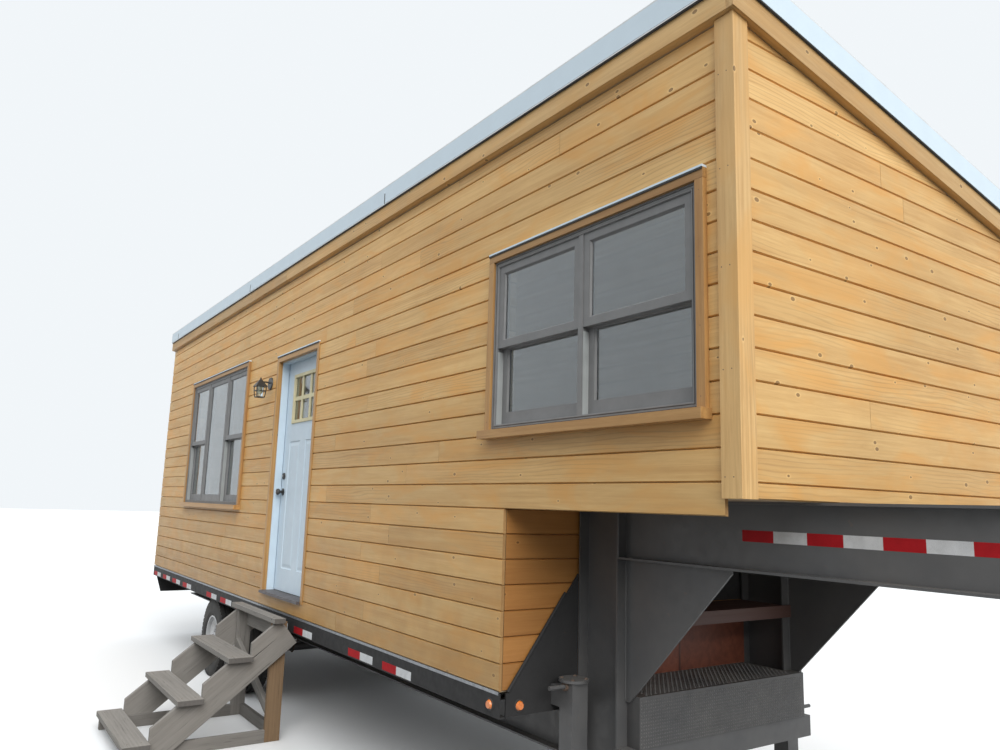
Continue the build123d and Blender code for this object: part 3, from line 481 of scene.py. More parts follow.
def wood(
    name, pale, deep, knot=0, roughness=0.5, contrast=1, checks=0, low_darkening=0, tone_range=0.22, painted_height_light=0, warm=None
):
    """Sawn boards: streaks and rings along the grain, knots, and a tone for each board.

    Checks are drying cracks, the number after them darkens the wall in patches towards its base, and the number
    before warm is painted light that makes a wall paler with height. Warm is the colour of resinous patches, which
    come with ring lines.
    """
    m = Paint(name, roughness)
    grain = m.attribute("grain")
    tone = m.attribute("tone", "Fac")
    height = m.parts(m.objects())[2]

    # Figure of the wood: long streaks, fine fibres, broad flames and rings
    bend = m.drawn(grain, (0.7, 3, 3), 2)
    streak = m.drawn(grain, (1.5, 42, 42), 8, 0.68, 0.8)
    fine = m.drawn(grain, (14, 420, 420), 3)
    flame = m.drawn(grain, (2.6, 11, 11), 4, 0.6, 1.4)
    rings = m.node(
        "TexWave",
        {"Vector": m.scaled(grain, (0.22, 11, 11)), "Scale": 1, "Distortion": 7, "Detail": 3},
        wave_type="BANDS",
        bands_direction="Y",
    ).outputs["Fac"]
    figure = m.math("MULTIPLY_ADD", streak, 0.6, m.math("MULTIPLY_ADD", rings, 0.12, m.times(fine, 0.16)))
    figure = m.math("MULTIPLY_ADD", flame, 0.22, m.math("SUBTRACT", figure, 0.08))
    half_range = 0.23 * contrast
    colour = m.mix(m.span(figure, 0.3, 0.72, 0.5 - half_range, 0.5 + half_range), deep, pale)
    colour = m.mix(m.span(bend, 0.35, 0.7, 0, 0.35), colour, tint(pale, 0.86))

    # On the face of a board: resinous patches, ring lines and knots
    along, across, third = m.parts(grain)
    over_face = m.math("ADD", across, third)
    face = m.node("CombineXYZ", {0: along, 1: over_face}).outputs[0]
    if warm:
        patch = m.drawn(grain, (1.6, 5, 5), 3, 0.6, 1)
        colour = m.mix(m.span(patch, 0.46, 0.66, 0, 0.75), colour, warm)
        wander = m.times(m.drawn(face, (0.9, 7, 0), 3, 0.5), 34)
        line = m.span(m.math("SINE", m.math("MULTIPLY_ADD", over_face, 330, wander)), 0.45, 1)
        chosen = m.span(m.drawn(face, (0.5, 2.4, 0), 1), 0.48, 0.62, 0, 0.34)
        colour = m.mix(m.times(line, chosen), colour, tint(deep, 0.7))
    if knot:
        values = {"Vector": m.scaled(face, (4.4, 7, 0)), "Scale": 1, "Randomness": 1}
        cell = m.node("TexVoronoi", values, feature="F1", voronoi_dimensions="2D").outputs
        chance = m.node("SeparateColor", {0: cell["Color"]}).outputs[0]
        present = m.math("GREATER_THAN", chance, 1 - knot)
        edge = m.math("SUBTRACT", cell["Distance"], m.span(chance, 1 - knot, 1, 0.014, 0.055))
        pale_ring = m.span(edge, 0, 0.06, 0.5, 0)
        core = m.span(edge, -0.012, 0.008, 0.9, 0)
        dark_rim = m.span(m.math("ABSOLUTE", edge), 0.002, 0.014, 0.8, 0)
        for share, shade in ((pale_ring, tint(pale, 1.12)), (core, tint(deep, 0.5)), (dark_rim, tint(deep, 0.25))):
            colour = m.mix(m.times(share, present), colour, shade)

    # The board's own tone, the wall's blotches, drying cracks, painted light that grows with height, and darkening
    # towards the base
    both = m.times(m.span(tone, 0, 1, 1 - tone_range / 2, 1 + tone_range / 2), m.patches(1.3, 3, 0.92, 1.06))
    # Painted light: the wall grows paler with height.
    if painted_height_light:
        both = m.times(both, m.span(height, wall_base, wall_top, 1 - painted_height_light, 1 + painted_height_light))
    if checks:
        crack = m.drawn(grain, (2.2, 95, 95), 5, 0.7, 1.2)
        both = m.times(both, m.span(crack, 0.3, 0.42, 1 - checks, 1))
    shaded = m.dimmed(colour, both)
    # Darker towards the base, in patches.
    if low_darkening:
        low_patches = m.patches(5, 5, 0.3, 1, low=0.35, high=0.65)
        near = m.span(height, wall_base, wall_base + 0.9, low_darkening, 0)
        shaded = m.mix(m.times(near, low_patches), shaded, tint(deep, 0.55))
    m.paint(shaded)
    m.rough(m.span(streak, 0.3, 0.7, roughness + 0.08, roughness - 0.06))
    m.bump(m.math("MULTIPLY_ADD", fine, 0.5, streak), 0.35 + 0.5 * checks, 0.0012)


def planks(name, pale, deep, axis, width, roughness=0.5):
    """Plain boarding for the room's faces, with the boards' joints square to an axis."""
    m = Paint(name, roughness)
    row = m.math("DIVIDE", m.parts(m.objects())[axis], width)
    joint = m.span(m.math("PINGPONG", row, 0.5), 0, 0.02)
    which = m.node("TexWhiteNoise", {"W": m.math("FLOOR", row)}, noise_dimensions="1D").outputs["Value"]
    stretch = [22, 22, 22]
    stretch[0 if axis != 0 else 1] = 1.2
    figure = m.drawn(m.objects(), stretch, 5, 0.6, 0.4)
    shaded = m.dimmed(m.mix(m.span(figure, 0.3, 0.7), deep, pale), m.span(which, 0, 1, 0.86, 1.08))
    m.paint(m.mix(joint, tint(deep, 0.3), shaded))
    m.bump(joint, 0.6, 0.002)


dust_colour = (0.36, 0.33, 0.29)
rust_colour = (0.25, 0.13, 0.07)


def enamel(name, colour, roughness=0.4, wear=0, dust=0.15, metallic=0, mottle=0.09, shine=0.5):
    """Painted metal: faint mottling, dust that lies thickest on top, and rust where it is worn."""
    m = Paint(name, roughness, metallic, Specular_IOR_Level=shine)
    base = m.dimmed(colour, m.patches(9, 5, 1 - mottle, 1 + mottle))
    up = m.parts(m.node("NewGeometry").outputs["Normal"])[2]
    film = m.times(m.span(up, 0.2, 1, dust * 0.35, dust), m.patches(3, 6))
    shown = m.mix(film, base, dust_colour)
    if wear:
        bare_from = 0.665 - 0.1 * wear
        bare = m.patches(14, 7, 0, wear, 0.72, bare_from, bare_from + 0.025)
        shown = m.mix(bare, shown, rust_colour)
    m.paint(shown)
    m.rough(m.patches(22, 4, roughness - 0.06, roughness + 0.12))
    m.bump(m.noise(m.objects(), 160, 3), 0.08, 0.0005)


def cast_metal(name, colour, roughness):
    """Bare or plated metal with a slightly stained face."""
    m = Paint(name, roughness, 0.9)
    m.paint(m.dimmed(colour, m.patches(30, 6, 0.72, 1.1, 0.7)))
    m.rough(m.patches(55, 3, roughness - 0.1, roughness + 0.15))


def clear(name, colour, roughness=0.02):
    """Window glass with a little dust."""
    m = Paint(name, roughness, Transmission_Weight=1, IOR=1.95)
    film = m.patches(3.5, 6, low=0.35, high=0.75)
    m.paint(m.mix(film, colour, tint(colour, 0.93)))
    m.rough(m.span(film, 0, 1, roughness, roughness + 0.05))


def rubber(name):
    """Weathered tyre rubber, browner and greyer where dust lies."""
    m = Paint(name, 0.8)
    dust = m.patches(6, 6, 0, 0.4, low=0.35)
    m.paint(m.mix(dust, (0.022, 0.022, 0.022), (0.11, 0.1, 0.085)))
    m.bump(m.noise(m.objects(), 240, 3), 0.2, 0.0006)


def reflective(name, colour):
    """Reflective tape with its fine cell pattern."""
    m = Paint(name, 0.6, Specular_IOR_Level=0.2)
    cell = m.node("TexVoronoi", {"Vector": m.objects(), "Scale": 210}, feature="DISTANCE_TO_EDGE").outputs["Distance"]
    m.paint(m.dimmed(colour, m.times(m.patches(20, 5, 0.85, 1.05), m.span(cell, 0, 0.1, 0.86, 1))))


def lens(name, colour, roughness=0.15):
    """Moulded amber plastic with fine ridges."""
    m = Paint(name, roughness, Coat_Weight=0.6)
    ridge = m.math("SINE", m.times(m.parts(m.objects())[2], 1600))
    # The colour dims and brightens with each ridge: painted shade and highlight on the ridges.
    m.paint(m.dimmed(colour, m.span(ridge, -1, 1, 0.8, 1.1)))
    m.bump(ridge, 0.3, 0.0006)


wood(
    "siding_wood",
    (0.84, 0.57, 0.24),
    (0.5, 0.26, 0.08),
    knot=0.32,
    contrast=1.6,
    tone_range=0.17,
    low_darkening=0.45,
    # painted light: the wall paler with height
    painted_height_light=0.12,
    warm=(0.7, 0.36, 0.095),
)
wood(
    "trim_wood",
    (0.8, 0.545, 0.245),
    (0.46, 0.25, 0.085),
    knot=0.3,
    contrast=1.9,
    warm=(0.66, 0.37, 0.12),
)
# Painted shade: the step wall's siding as a darker, more saturated copy of the siding wood, for the shade under the
# loft.
wood("step_wood", (0.56, 0.27, 0.075), (0.32, 0.125, 0.028), knot=0.25, contrast=1.3)
wood("board_end", (0.56, 0.34, 0.14), (0.34, 0.17, 0.06), roughness=0.8)
wood("casing_wood", (0.59, 0.345, 0.125), (0.29, 0.135, 0.04), knot=0.06, roughness=0.45, contrast=1.9)
wood("grey_wood", (0.33, 0.313, 0.288), (0.13, 0.119, 0.109), knot=0.1, roughness=0.85, checks=0.6)
wood("grey_end", (0.17, 0.16, 0.15), (0.07, 0.064, 0.06), roughness=0.9, checks=0.5)
wood("brown_wood", (0.27, 0.175, 0.096), (0.115, 0.073, 0.041), knot=0.12, roughness=0.85, checks=0.4)
wood("shelf_paint", (0.095, 0.045, 0.034), (0.055, 0.025, 0.019), roughness=0.6)
planks("red_board", (0.27, 0.085, 0.045), (0.16, 0.046, 0.026), 1, 0.6)
planks("room_wall", (0.68, 0.55, 0.38), (0.52, 0.38, 0.23), 2, 0.14)
planks("room_floor", (0.5, 0.36, 0.22), (0.34, 0.22, 0.12), 1, 0.12)
planks("room_roof", (0.7, 0.58, 0.42), (0.56, 0.43, 0.28), 1, 0.14)
enamel("white_paint", (0.69, 0.82, 0.92), 0.35, dust=0.04, mottle=0.02)
enamel("hem_white", (0.9, 0.92, 0.93), 0.4, dust=0.02, mottle=0.02)
enamel("door_white", (0.63, 0.75, 0.85), 0.38, dust=0.05, mottle=0.03)
enamel("roof_white", (0.72, 0.76, 0.78), 0.4, dust=0.12)
cast_metal("zinc", (0.3, 0.31, 0.33), 0.55)
cast_metal("steel", (0.48, 0.48, 0.49), 0.35)
enamel("rust_steel", (0.13, 0.085, 0.06), 0.75, wear=0.8, dust=0.25)
enamel("window_paint", (0.185, 0.186, 0.188), 0.5, dust=0.06)
enamel("liner_grey", (0.36, 0.38, 0.38), 0.5)
enamel("cream", (0.74, 0.68, 0.44), 0.5, dust=0.05)
enamel("black_paint", (0.018, 0.018, 0.018), 0.35, dust=0.12)
enamel("bronze", (0.085, 0.075, 0.078), 0.5, wear=0.2, dust=0.08)
enamel("trailer_grey", (0.082, 0.083, 0.086), 0.42, wear=0.14, dust=0.24, mottle=0.05, shine=0.4)
# Painted shade: a darker, less shiny copy of the trailer grey, for the rails and end plates in the shade under the
# house.
enamel("shaded_rail_grey", (0.03, 0.03, 0.031), 0.65, wear=0.15, dust=0.05, shine=0.2)
enamel("plate_grey", (0.042, 0.042, 0.044), 0.45, wear=0.1, dust=0.3)
enamel("lug_grey", (0.115, 0.115, 0.118), 0.4, dust=0.45)
enamel("wheel_silver", (0.55, 0.56, 0.57), 0.35, wear=0.3, dust=0.3, metallic=0.3)
# Black for real seals and lamp rims, and for the strips painted as shade and shadow.
enamel("seal_and_shade_black", (0.02, 0.02, 0.02), 0.7, dust=0.1)
clear("pane", (0.76, 0.86, 0.91))
rubber("tyre_rubber")
reflective("tape_red", (0.44, 0.01, 0.016))
reflective("tape_white", (0.72, 0.74, 0.76))
lens("amber", (0.86, 0.22, 0.02))

finishes = {
    "room_wall": "near_wall door_infill_walls far_wall loft_side_walls step_corner_walls end_walls",
    "room_floor": "floors",
    "room_roof": "roof_deck",
    "white_paint": "eave_metal rake_metal drip_caps",
    "roof_white": "roof_sheet",
    "zinc": "flashings",
    "window_paint": "window_frames window_sashes",
    "pane": "window_glass door_glass lantern_glass",
    "door_white": "door_leaf door_jambs door_head",
    "cream": "door_light",
    "black_paint": "door_knobs lantern",
    "steel": "door_hinges frame_hinges",
    "bronze": "threshold",
    "trailer_grey": "main_beams risers neck_beams neck_gussets crossmembers crossbeams coupler axles springs jacks "
    "jack_brackets",
    # Painted shade: the rails and end plates take the darker copy of the trailer grey.
    "shaded_rail_grey": "side_rails end_plates",
    "plate_grey": "toolbox",
    "wheel_silver": "rims",
    "amber": "marker_lamps",
    "red_board": "red_panel",
}
for name, nodes in finishes.items():
    for node in nodes.split():
        shown = frame["nodes"][node]
        if not shown.material_slots:
            shown.data.materials.append(looks[name])
        for place in shown.material_slots:
            place.material = looks[name]

# Siding boards
board_pitch = 0.129
first_groove = 1.04
row_total = 22
thin_bottom = 0.03
thin_top = 0.004
groove_chamfer = 0.0055
groove_depth = 0.009
groove_gap = 0.001
end_gap = 0.001
first_board = 1.6
shortest_board = 3.2
longest_board = 4.8
last_board = 1
least_piece = 0.002
grooves = [first_groove + board_pitch * k for k in range(row_total)]


def rows(low, high):
    """The boards' lower and upper edges between two heights."""
    inner = [z for z in grooves if low + thin_bottom < z < high - thin_top]
    edges = [low, *inner, high]
    return zip(edges[:-1], edges[1:])


def butts(start, end, fixed):
    """Where the boards of one row meet end to end."""
    found = list(fixed)
    at = start + dice.uniform(first_board, longest_board)
    while not fixed and at < end - last_board:
        found.append(at)
        at += dice.uniform(shortest_board, longest_board)
    return sorted(found)


def free_parts(start, end, low, high, openings):
    """The parts of a board left by the openings, as (start, end, low, high)."""
    parts = [(start, end, low, high)]
    for a, b, c, d in openings:
        cut = []
        for s, e, lo, hi in parts:
            tries = [(s, e, lo, hi)]
            if b > s and a < e and d > lo and c < hi:
                left, right = max(s, a), min(e, b)
                tries = [(s, a, lo, hi), (b, e, lo, hi), (left, right, lo, c), (left, right, d, hi)]
            cut += [part for part in tries if part[0] < part[1] and part[2] < part[3]]
        parts = cut
    return parts


def board(bm, place, start, end, low, high, row_low, row_high, shift, tone):
    """One length of siding with a chamfer along each edge that meets its neighbour."""
    lower = low == row_low
    upper = high == row_high
    profile = [(low + groove_gap * lower, skin), (high - groove_gap * upper, skin)]
    profile += [(high - groove_gap, groove_depth), (high - groove_chamfer, 0)] if upper else [(high, 0)]
    profile += [(low + groove_chamfer, 0), (low + groove_gap, groove_depth)] if lower else [(low, 0)]
    run = place(end, low, 0) - place(start, low, 0)
    made = prism(bm, [place(start, z, depth) for z, depth in profile], run, ends=1)
    mark(bm, made, run, tone, shift)


def laid(bm, place, start, end, low, high, openings=(), joints={}):
    """Lay a whole wall; joints holds known butt joints by the row's number."""
    for row_low, row_high in rows(low, high):
        number = round((row_low - first_groove) / board_pitch)
        stops = [start, *butts(start, end, joints.get(number, ())), end]
        for s, e in zip(stops[:-1], stops[1:]):
            shift, tone = wood_shift(), dice.random()
            s_gap = s + end_gap * (s != start)
            e_gap = e - end_gap * (e != end)
            for a, b, c, d in free_parts(s_gap, e_gap, row_low, row_high, openings):
                if b - a > least_piece and d - c > least_piece:
                    board(bm, place, a, b, c, d, row_low, row_high, shift, tone)


def wall_face(surface, axis, inward):
    """The function that gives places on one outer face."""

    def place(u, z, depth):
        at = Vector((u, u, z))
        at[axis] = surface + inward * depth
        return at

    return place


near_face = wall_face(y_near, 1, 1)
far_face = wall_face(y_far, 1, -1)
front_face = wall_face(x_front, 0, -1)
rear_face = wall_face(x_rear, 0, 1)
step_face = wall_face(x_step, 0, -1)
near_frames = [pair for pair in solids("window_frames") if pair[1].y < y_mid]
row_window, loft_window = sorted(outline(*pair) for pair in near_frames)
skirt_notch = (x_front - corner_side, x_front + 0.01, skirt - 0.01, loft_floor)
near_openings = [row_window, loft_window, outline(*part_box("door_jambs")), skirt_notch]
far_openings = [row_window, loft_window, skirt_notch]
near_joints = {20: (3.405,), 17: (0.917,), 7: (1.9,), 12: (-0.95,), 14: (1.35,), 4: (1.7,), 6: (0.62,)}
far_joints = {6: (0.9,)}
front_joints = {18: (0.39,), 17: (0.58,), 9: (0.205,)}
far_top = wall_top - roof_fall * (y_far - y_near)

bm = new_mesh()
laid(bm, near_face, x_rear, x_step, wall_base, skirt, near_openings, near_joints)
laid(bm, near_face, x_rear, x_front, skirt, wall_top, near_openings, near_joints)
laid(bm, far_face, x_rear, x_step, wall_base, skirt, far_openings)
laid(bm, far_face, x_rear, x_front, skirt, far_top, far_openings, far_joints)
piece("side_boards", bm, "siding_wood board_end", replaces=("side_siding",))

# End walls, cut off at the underside of the sloping roof
inner_near, inner_far = y_near + skin, y_far - skin
bm = new_mesh()
laid(bm, front_face, inner_near, inner_far, loft_floor, wall_top, joints=front_joints)
laid(bm, rear_face, inner_near, inner_far, wall_base, wall_top)
bisect(bm, (0, y_near, wall_top), roof_normal, clear_outer=True)
fill_holes(bm)
piece("end_boards", bm, "siding_wood board_end", replaces=("end_siding",))

corner_joint = 0.004
joint_in = 0.005
bm = new_mesh()
laid(bm, step_face, inner_near + corner_joint, inner_far - corner_joint, wall_base, loft_floor)
# Painted shade: the step boards take the darker copy of the siding wood.
piece("step_boards", bm, "step_wood board_end", replaces=("step_siding",))

# Black fill in the corner joints beside the step boards: real joints, their darkness painted shadow.
bm = bmesh.new()
for y in (inner_near, inner_far - corner_joint):
    brick(bm, (x_step - skin, y, wall_base + sunk), (x_step - joint_in, y + corner_joint, loft_floor - sunk))
piece("step_joint_shadows", bm, "seal_and_shade_black")

# A black sheet on the wall between the risers, over the shelf; its black is painted shade, for the deep shade under
# the loft
sheet_out = 0.004
sheet_behind = 0.04
riser_boxes = sorted(solids("risers"), key=lambda pair: pair[0].y)
bay_near, bay_far = riser_boxes[0][1].y, riser_boxes[-1][0].y
bm = bmesh.new()
brick(bm, (x_step - graze, bay_near - sheet_behind, shelf_high.z), (x_step + sheet_out, bay_far + sheet_behind, skirt))
piece("bay_shade_sheet", bm, "seal_and_shade_black")

# Fascias, corner boards, casings and shelf
fascia_joint = -0.57
dressed("eave_boards", "eave_fascias", "trim_wood", joint=fascia_joint)
dressed("rake_boards", "rake_fascias", "trim_wood")
dressed("corner_trim", "corner_boards", "trim_wood", bevel=0.003)
dressed("window_trim", "window_casings", "casing_wood")
dressed("door_side_trim", "door_casing_legs", "casing_wood")
dressed("door_head_trim", "door_casing_head", "casing_wood")
dressed("shelf_boards", "shelf", "shelf_paint")

# Entry steps: grey lumber with dark ends, and one post of younger, browner wood
post_low, post_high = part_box("stair_posts")
step_materials = "grey_wood grey_end brown_wood"
dressed("stair_planks", "stair_stringers", step_materials, 0.003)
dressed("stair_boards", "stair_treads", step_materials, 0.003)
mid_x = (post_low.x + post_high.x) / 2
dressed("stair_legs", "stair_posts", step_materials, 0.003, browner=mid_x)
dressed("stair_ties", "stair_braces", step_materials)

# Tape, in pairs of red and white along the rails, and end to end along the neck
tape_height = 0.05
tape_skin = 0.0006
tape_piece = 0.19
tape_start = -5.08
tape_pitch = 0.522
tape_pairs = 14
tape_missing = (4, 11)
tape_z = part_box("side_rails")[0].z + 0.009
neck_tape_start = 4.062
neck_tape_piece = 0.163
neck_tape_z = 1.73
nose_margin = 0.012
flange_width = 0.13
web_thick = 0.008
web_in = neck_low.y + (flange_width - web_thick) / 2 - y_near


def tape_strips(bm, starts, length, y, outward, low):
    """Short strips on an upright face, taking turns in colour."""
    for i, x in enumerate(starts):
        end = min(x + length, x_nose - nose_margin)
        brick(bm, (x, y, low), (end, y + outward * tape_skin, low + tape_height), i % 2)


bm = bmesh.new()
pairs = [tape_start + tape_pitch * i for i in range(tape_pairs) if i not in tape_missing]
rail_starts = [x for start in pairs for x in (start, start + tape_piece)]
neck_count = math.ceil((x_nose - neck_tape_start) / neck_tape_piece)
neck_starts = [neck_tape_start + neck_tape_piece * i for i in range(neck_count)]
for side, outward in ((y_near, -1), (y_far, 1)):
    tape_strips(bm, rail_starts, tape_piece, side, outward, tape_z)
    tape_strips(bm, neck_starts, neck_tape_piece, side - outward * web_in, outward, neck_tape_z - tape_height / 2)
piece("reflective_tape", bm, "tape_red tape_white")

# Windows: glazing beads, deeper bottom rails, jamb liners, sash locks, steps in the frames, and black lines painted as
# the shadows between the frames' steps
sash_face = 0.04
sash_depth = 0.034
frame_face = 0.032
pane_half = 0.004
bead_in = 0.003
bead_lap = 0.002
bead_width = 0.009
tall_sash = 1.2
bottom_rail = 0.068
liner = 0.004
liner_past = 0.02
liner_ribs = (0.3, 0.7)
rib_half = 0.002
rib_out = 0.0015
lock_length = 0.055
lock_deep = 0.022
lock_low, lock_top = 0.026, 0.008
lock_hub = (-sunk, 0.009, 0.008, 14)
lock_lever = (0, 0.032, 0.0035, 10)
lever_height = 0.007
rim_out = 0.003
rim_width = 0.009
rim_lap = 0.008
rim_slope = 0.002
frame_shadow_lines = (0.0095, 0.0215)
shadow_line_width = 0.0025
all_sashes = solids("window_sashes")
beads, liners, locks, shadow_lines = (bmesh.new() for _ in range(4))
for low, high in all_sashes:
    out = outer_face(low, high)[0]
    middle = (low.y + high.y) / 2
    # The lower sash of a pair stands in the inner plane
    is_lower = any(
        abs(other.x - low.x) < 0.002 and abs(other.z - low.z) > 0.1 and (other.y - low.y) * out > 0.02
        for other, _ in all_sashes
    )
    start = sash_face - hair
    for way in (-1, 1):
        glass = middle + way * (pane_half - hair)
        bead = middle + way * (sash_depth / 2 - bead_in)
        section = [(start, glass), (start, bead), (sash_face + bead_lap, bead), (sash_face + bead_width, glass)]
        framed(beads, outline(low, high), section)
        if is_lower or high.z - low.z > tall_sash:
            rail = middle + way * (sash_depth / 2 - sunk)
            brick(beads, (low.x + sunk, glass, low.z + 2 * sunk), (high.x - sunk, rail, low.z + bottom_rail))
    if is_lower:
        front_low, front_high = low.y + out * sash_depth, high.y + out * sash_depth
        liner_top = high.z - 2 * sash_face + liner_past
        for x0, x1 in ((low.x, low.x + liner), (high.x - liner, high.x)):
            brick(liners, (x0, front_low, low.z), (x1, front_high, liner_top))
            for share in liner_ribs:
                y = front_low + (front_high - front_low) * share
                brick(liners, (x0 - graze, y - rib_half, low.z), (x1 + rib_out, y + rib_half, liner_top))
        centre = (low.x + high.x) / 2
        inside = low.y if out > 0 else high.y
        lock_end = Vector((centre + lock_length / 2, inside - out * lock_deep, high.z - lock_top))
        brick(locks, (centre - lock_length / 2, inside - out * graze, high.z - lock_low), lock_end)
        hub = Vector((centre, inside - out * (graze + lock_deep) / 2, lock_end.z))
        peg(locks, hub, z_way, *lock_hub)
        peg(locks, hub + z_way * lever_height, x_way, *lock_lever)
for low, high in solids("window_frames"):
    out, face = outer_face(low, high)
    edges = outline(low, high)
    inner, rim = face - out * graze, face + out * rim_out
    framed(beads, edges, [(graze, inner), (graze, rim), (rim_width - rim_slope, rim), (rim_width, inner)])
    # Black lines just proud of each frame's face: painted shadow between its steps.
    for start in frame_shadow_lines:
        end, proud = start + shadow_line_width, face + out * graze
        framed(shadow_lines, edges, [(start, inner), (start, proud), (end, proud), (end, inner)])
    start = frame_face - sunk - rim_lap
    end = start + rim_lap
    framed(beads, edges, [(start, inner), (start + sunk, rim), (end - rim_slope, rim), (end, inner)])
piece("window_beads", beads, "window_paint")
piece("frame_shadow_lines", shadow_lines, "seal_and_shade_black")
piece("window_liners", liners, "liner_grey")
piece("sash_locks", locks, "steel", smooth=40)

# Door: a raised field with its moulding in each panel, inside and out
leaf_low, leaf_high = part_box("door_leaf")
panel_width = 0.262
panel_gap = 0.12
panel_bottom = 0.188
panel_height = 1.117
panel_recess = 0.0063
field_edge = 0.018
field_slope = 0.026
field_in = 0.0012
moulding_flat = 0.002
moulding_width = 0.009
mid_x = (leaf_low.x + leaf_high.x) / 2
z0 = leaf_low.z + panel_bottom
z1 = z0 + panel_height
bm = bmesh.new()
for way in (-1, 1):
    centre = mid_x + way * (panel_width + panel_gap) / 2
    x0, x1 = centre - panel_width / 2, centre + panel_width / 2
    for face, inward in ((leaf_low.y, 1), (leaf_high.y, -1)):
        base = face + inward * panel_recess
        field = (x0 + field_edge, x1 - field_edge, z0 + field_edge, z1 - field_edge)
        raised(bm, field, base, face + inward * field_in, field_slope)
        framed(bm, (x0, x1, z0, z1), [(-hair, base), (-hair, face), (moulding_flat, face), (moulding_width, base)])
piece("door_fields", bm, "door_white", body="door")

# Latch plates on the door's edge, a keyway, and a set screw in the knob's rose
knob_low, knob_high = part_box("door_knobs")
knob_x = (knob_low.x + knob_high.x) / 2
edge_y = (leaf_low.y + leaf_high.y) / 2
bolt_z = knob_high.z - 0.03
knob_z = knob_low.z + 0.032
plate_skin = 0.0008
plate_wide, plate_tall = 0.026, 0.056
keyway = (0.014, 0.0185, 0.011, 20)
set_screw = (0.004, 0.002, 0)
bm = bmesh.new()
for z in (knob_z, bolt_z):
    corner = Vector((leaf_low.x - plate_skin, edge_y - plate_wide / 2, z - plate_tall / 2))
    brick(bm, corner, corner + Vector((plate_skin + sunk, plate_wide, plate_tall)))
peg(bm, Vector((knob_x, leaf_low.y, bolt_z)), -y_way, *keyway)
bolt(bm, (knob_x, knob_low.y + sunk, knob_z), -y_way, *set_screw)
piece("door_latch", bm, "steel", body="door")

# Lantern: a socket and its lamp, hung from the glass's top
lamp_parts = [(-0.03, 0, 0.011, 16), (-0.052, -0.03, 0.013, 16, 0.009), (-0.074, -0.052, 0.004, 16, 0.013)]
glass_low, glass_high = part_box("lantern_glass")
lamp_top = (glass_low + glass_high) / 2
lamp_top.z = glass_high.z
bm = bmesh.new()
for part in lamp_parts:
    peg(bm, lamp_top, z_way, *part)
piece("lantern_bulb", bm, "cream", smooth=40)

# Metal roof edge: laps between its lengths, each with a painted shadow beside it, a bright hem, and black strips
# painted as the shadow under it, under the rake metal and under the drip caps
lap_places = (-4.83, -1.67, 1.44)
lap_width = 0.034
lap_height = 0.11
lap_in, lap_out = 0.0004, 0.0012
shadow_width = 0.009
shadow_top = 0.085
hem_height = 0.006
shadow_drop = 0.006
shadow_in = 0.002
shadow_end = 0.003
cap_shadow_in, cap_shadow_out, cap_shadow_height = 0.004, 0.0008, 0.009
fascia_low, fascia_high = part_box("eave_fascias")
rake_low, rake_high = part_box("rake_fascias")
laps, hems, shadow_strips = (bmesh.new() for _ in range(3))
for low, high in solids("eave_metal"):
    out, face = outer_face(low, high)
    fascia_face = fascia_low.y if out < 0 else fascia_high.y
    behind, front = face - out * lap_in, face + out * lap_out
    hem_top = low.z + hem_height
    for x in lap_places:
        end = x + lap_width / 2
        brick(laps, (x - lap_width / 2, behind, hem_top), (end, front, low.z + lap_height))
        brick(shadow_strips, (end, behind, hem_top), (end + shadow_width, front + out * lap_in, low.z + shadow_top))
    brick(hems, (low.x + sunk, behind, low.z + hair), (high.x - sunk, front, hem_top))
    # Black strip under the eave metal: painted shadow of its drip edge.
    inner = Vector((fascia_low.x + shadow_in, face - out * shadow_in, low.z - shadow_drop))
    brick(shadow_strips, inner, (fascia_high.x - shadow_in, fascia_face - out * sunk, low.z + sunk))
# Black strip under the rake metal: painted shadow.
for low, high in solids("rake_metal"):
    out, face, board_face = (1, high.x, rake_high.x) if low.x > 0 else (-1, low.x, rake_low.x)
    x0, x1 = sorted((face - out * shadow_in, board_face - out * sunk))
    ends = ((low.y + shadow_end, low.z + roof_fall * (high.y - low.y)), (high.y - shadow_end, low.z))
    upper = [(x0, y, z + sunk) for y, z in ends]
    lower = [(x0, y, z - shadow_drop) for y, z in reversed(ends)]
    prism(shadow_strips, upper + lower, (x1 - x0, 0, 0))
# Black strip under each drip cap: painted shadow.
for low, high in solids("drip_caps"):
    out, face = outer_face(low, high)
    inner = Vector((low.x + sunk, face - out * cap_shadow_in, low.z - cap_shadow_height))
    brick(shadow_strips, inner, (high.x - sunk, face + out * cap_shadow_out, low.z + graze))
piece("eave_laps", laps, "white_paint")
piece("eave_hems", hems, "hem_white")
piece("edge_shadow_strips", shadow_strips, "seal_and_shade_black")

# Roof screws, in rows along the house
screw_rows = 6
screw_pitch = 0.406
screw_start, screw_end = 0.1, 0.05
screw_side = 0.12
screw_rise = 0.008
screw_size = 0.005
eave_low, eave_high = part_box("eave_metal")
roof_low, roof_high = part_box("roof_sheet")
bm = bmesh.new()
for y in np.linspace(roof_low.y + screw_side, roof_high.y - screw_side, screw_rows):
    z = eave_high.z - roof_fall * (y - eave_low.y) + screw_rise
    for x in np.arange(roof_low.x + screw_start, roof_high.x - screw_end, screw_pitch):
        bolt(bm, (x, y, z), roof_normal, screw_size, screw_size)
piece("roof_screws", bm, "zinc")

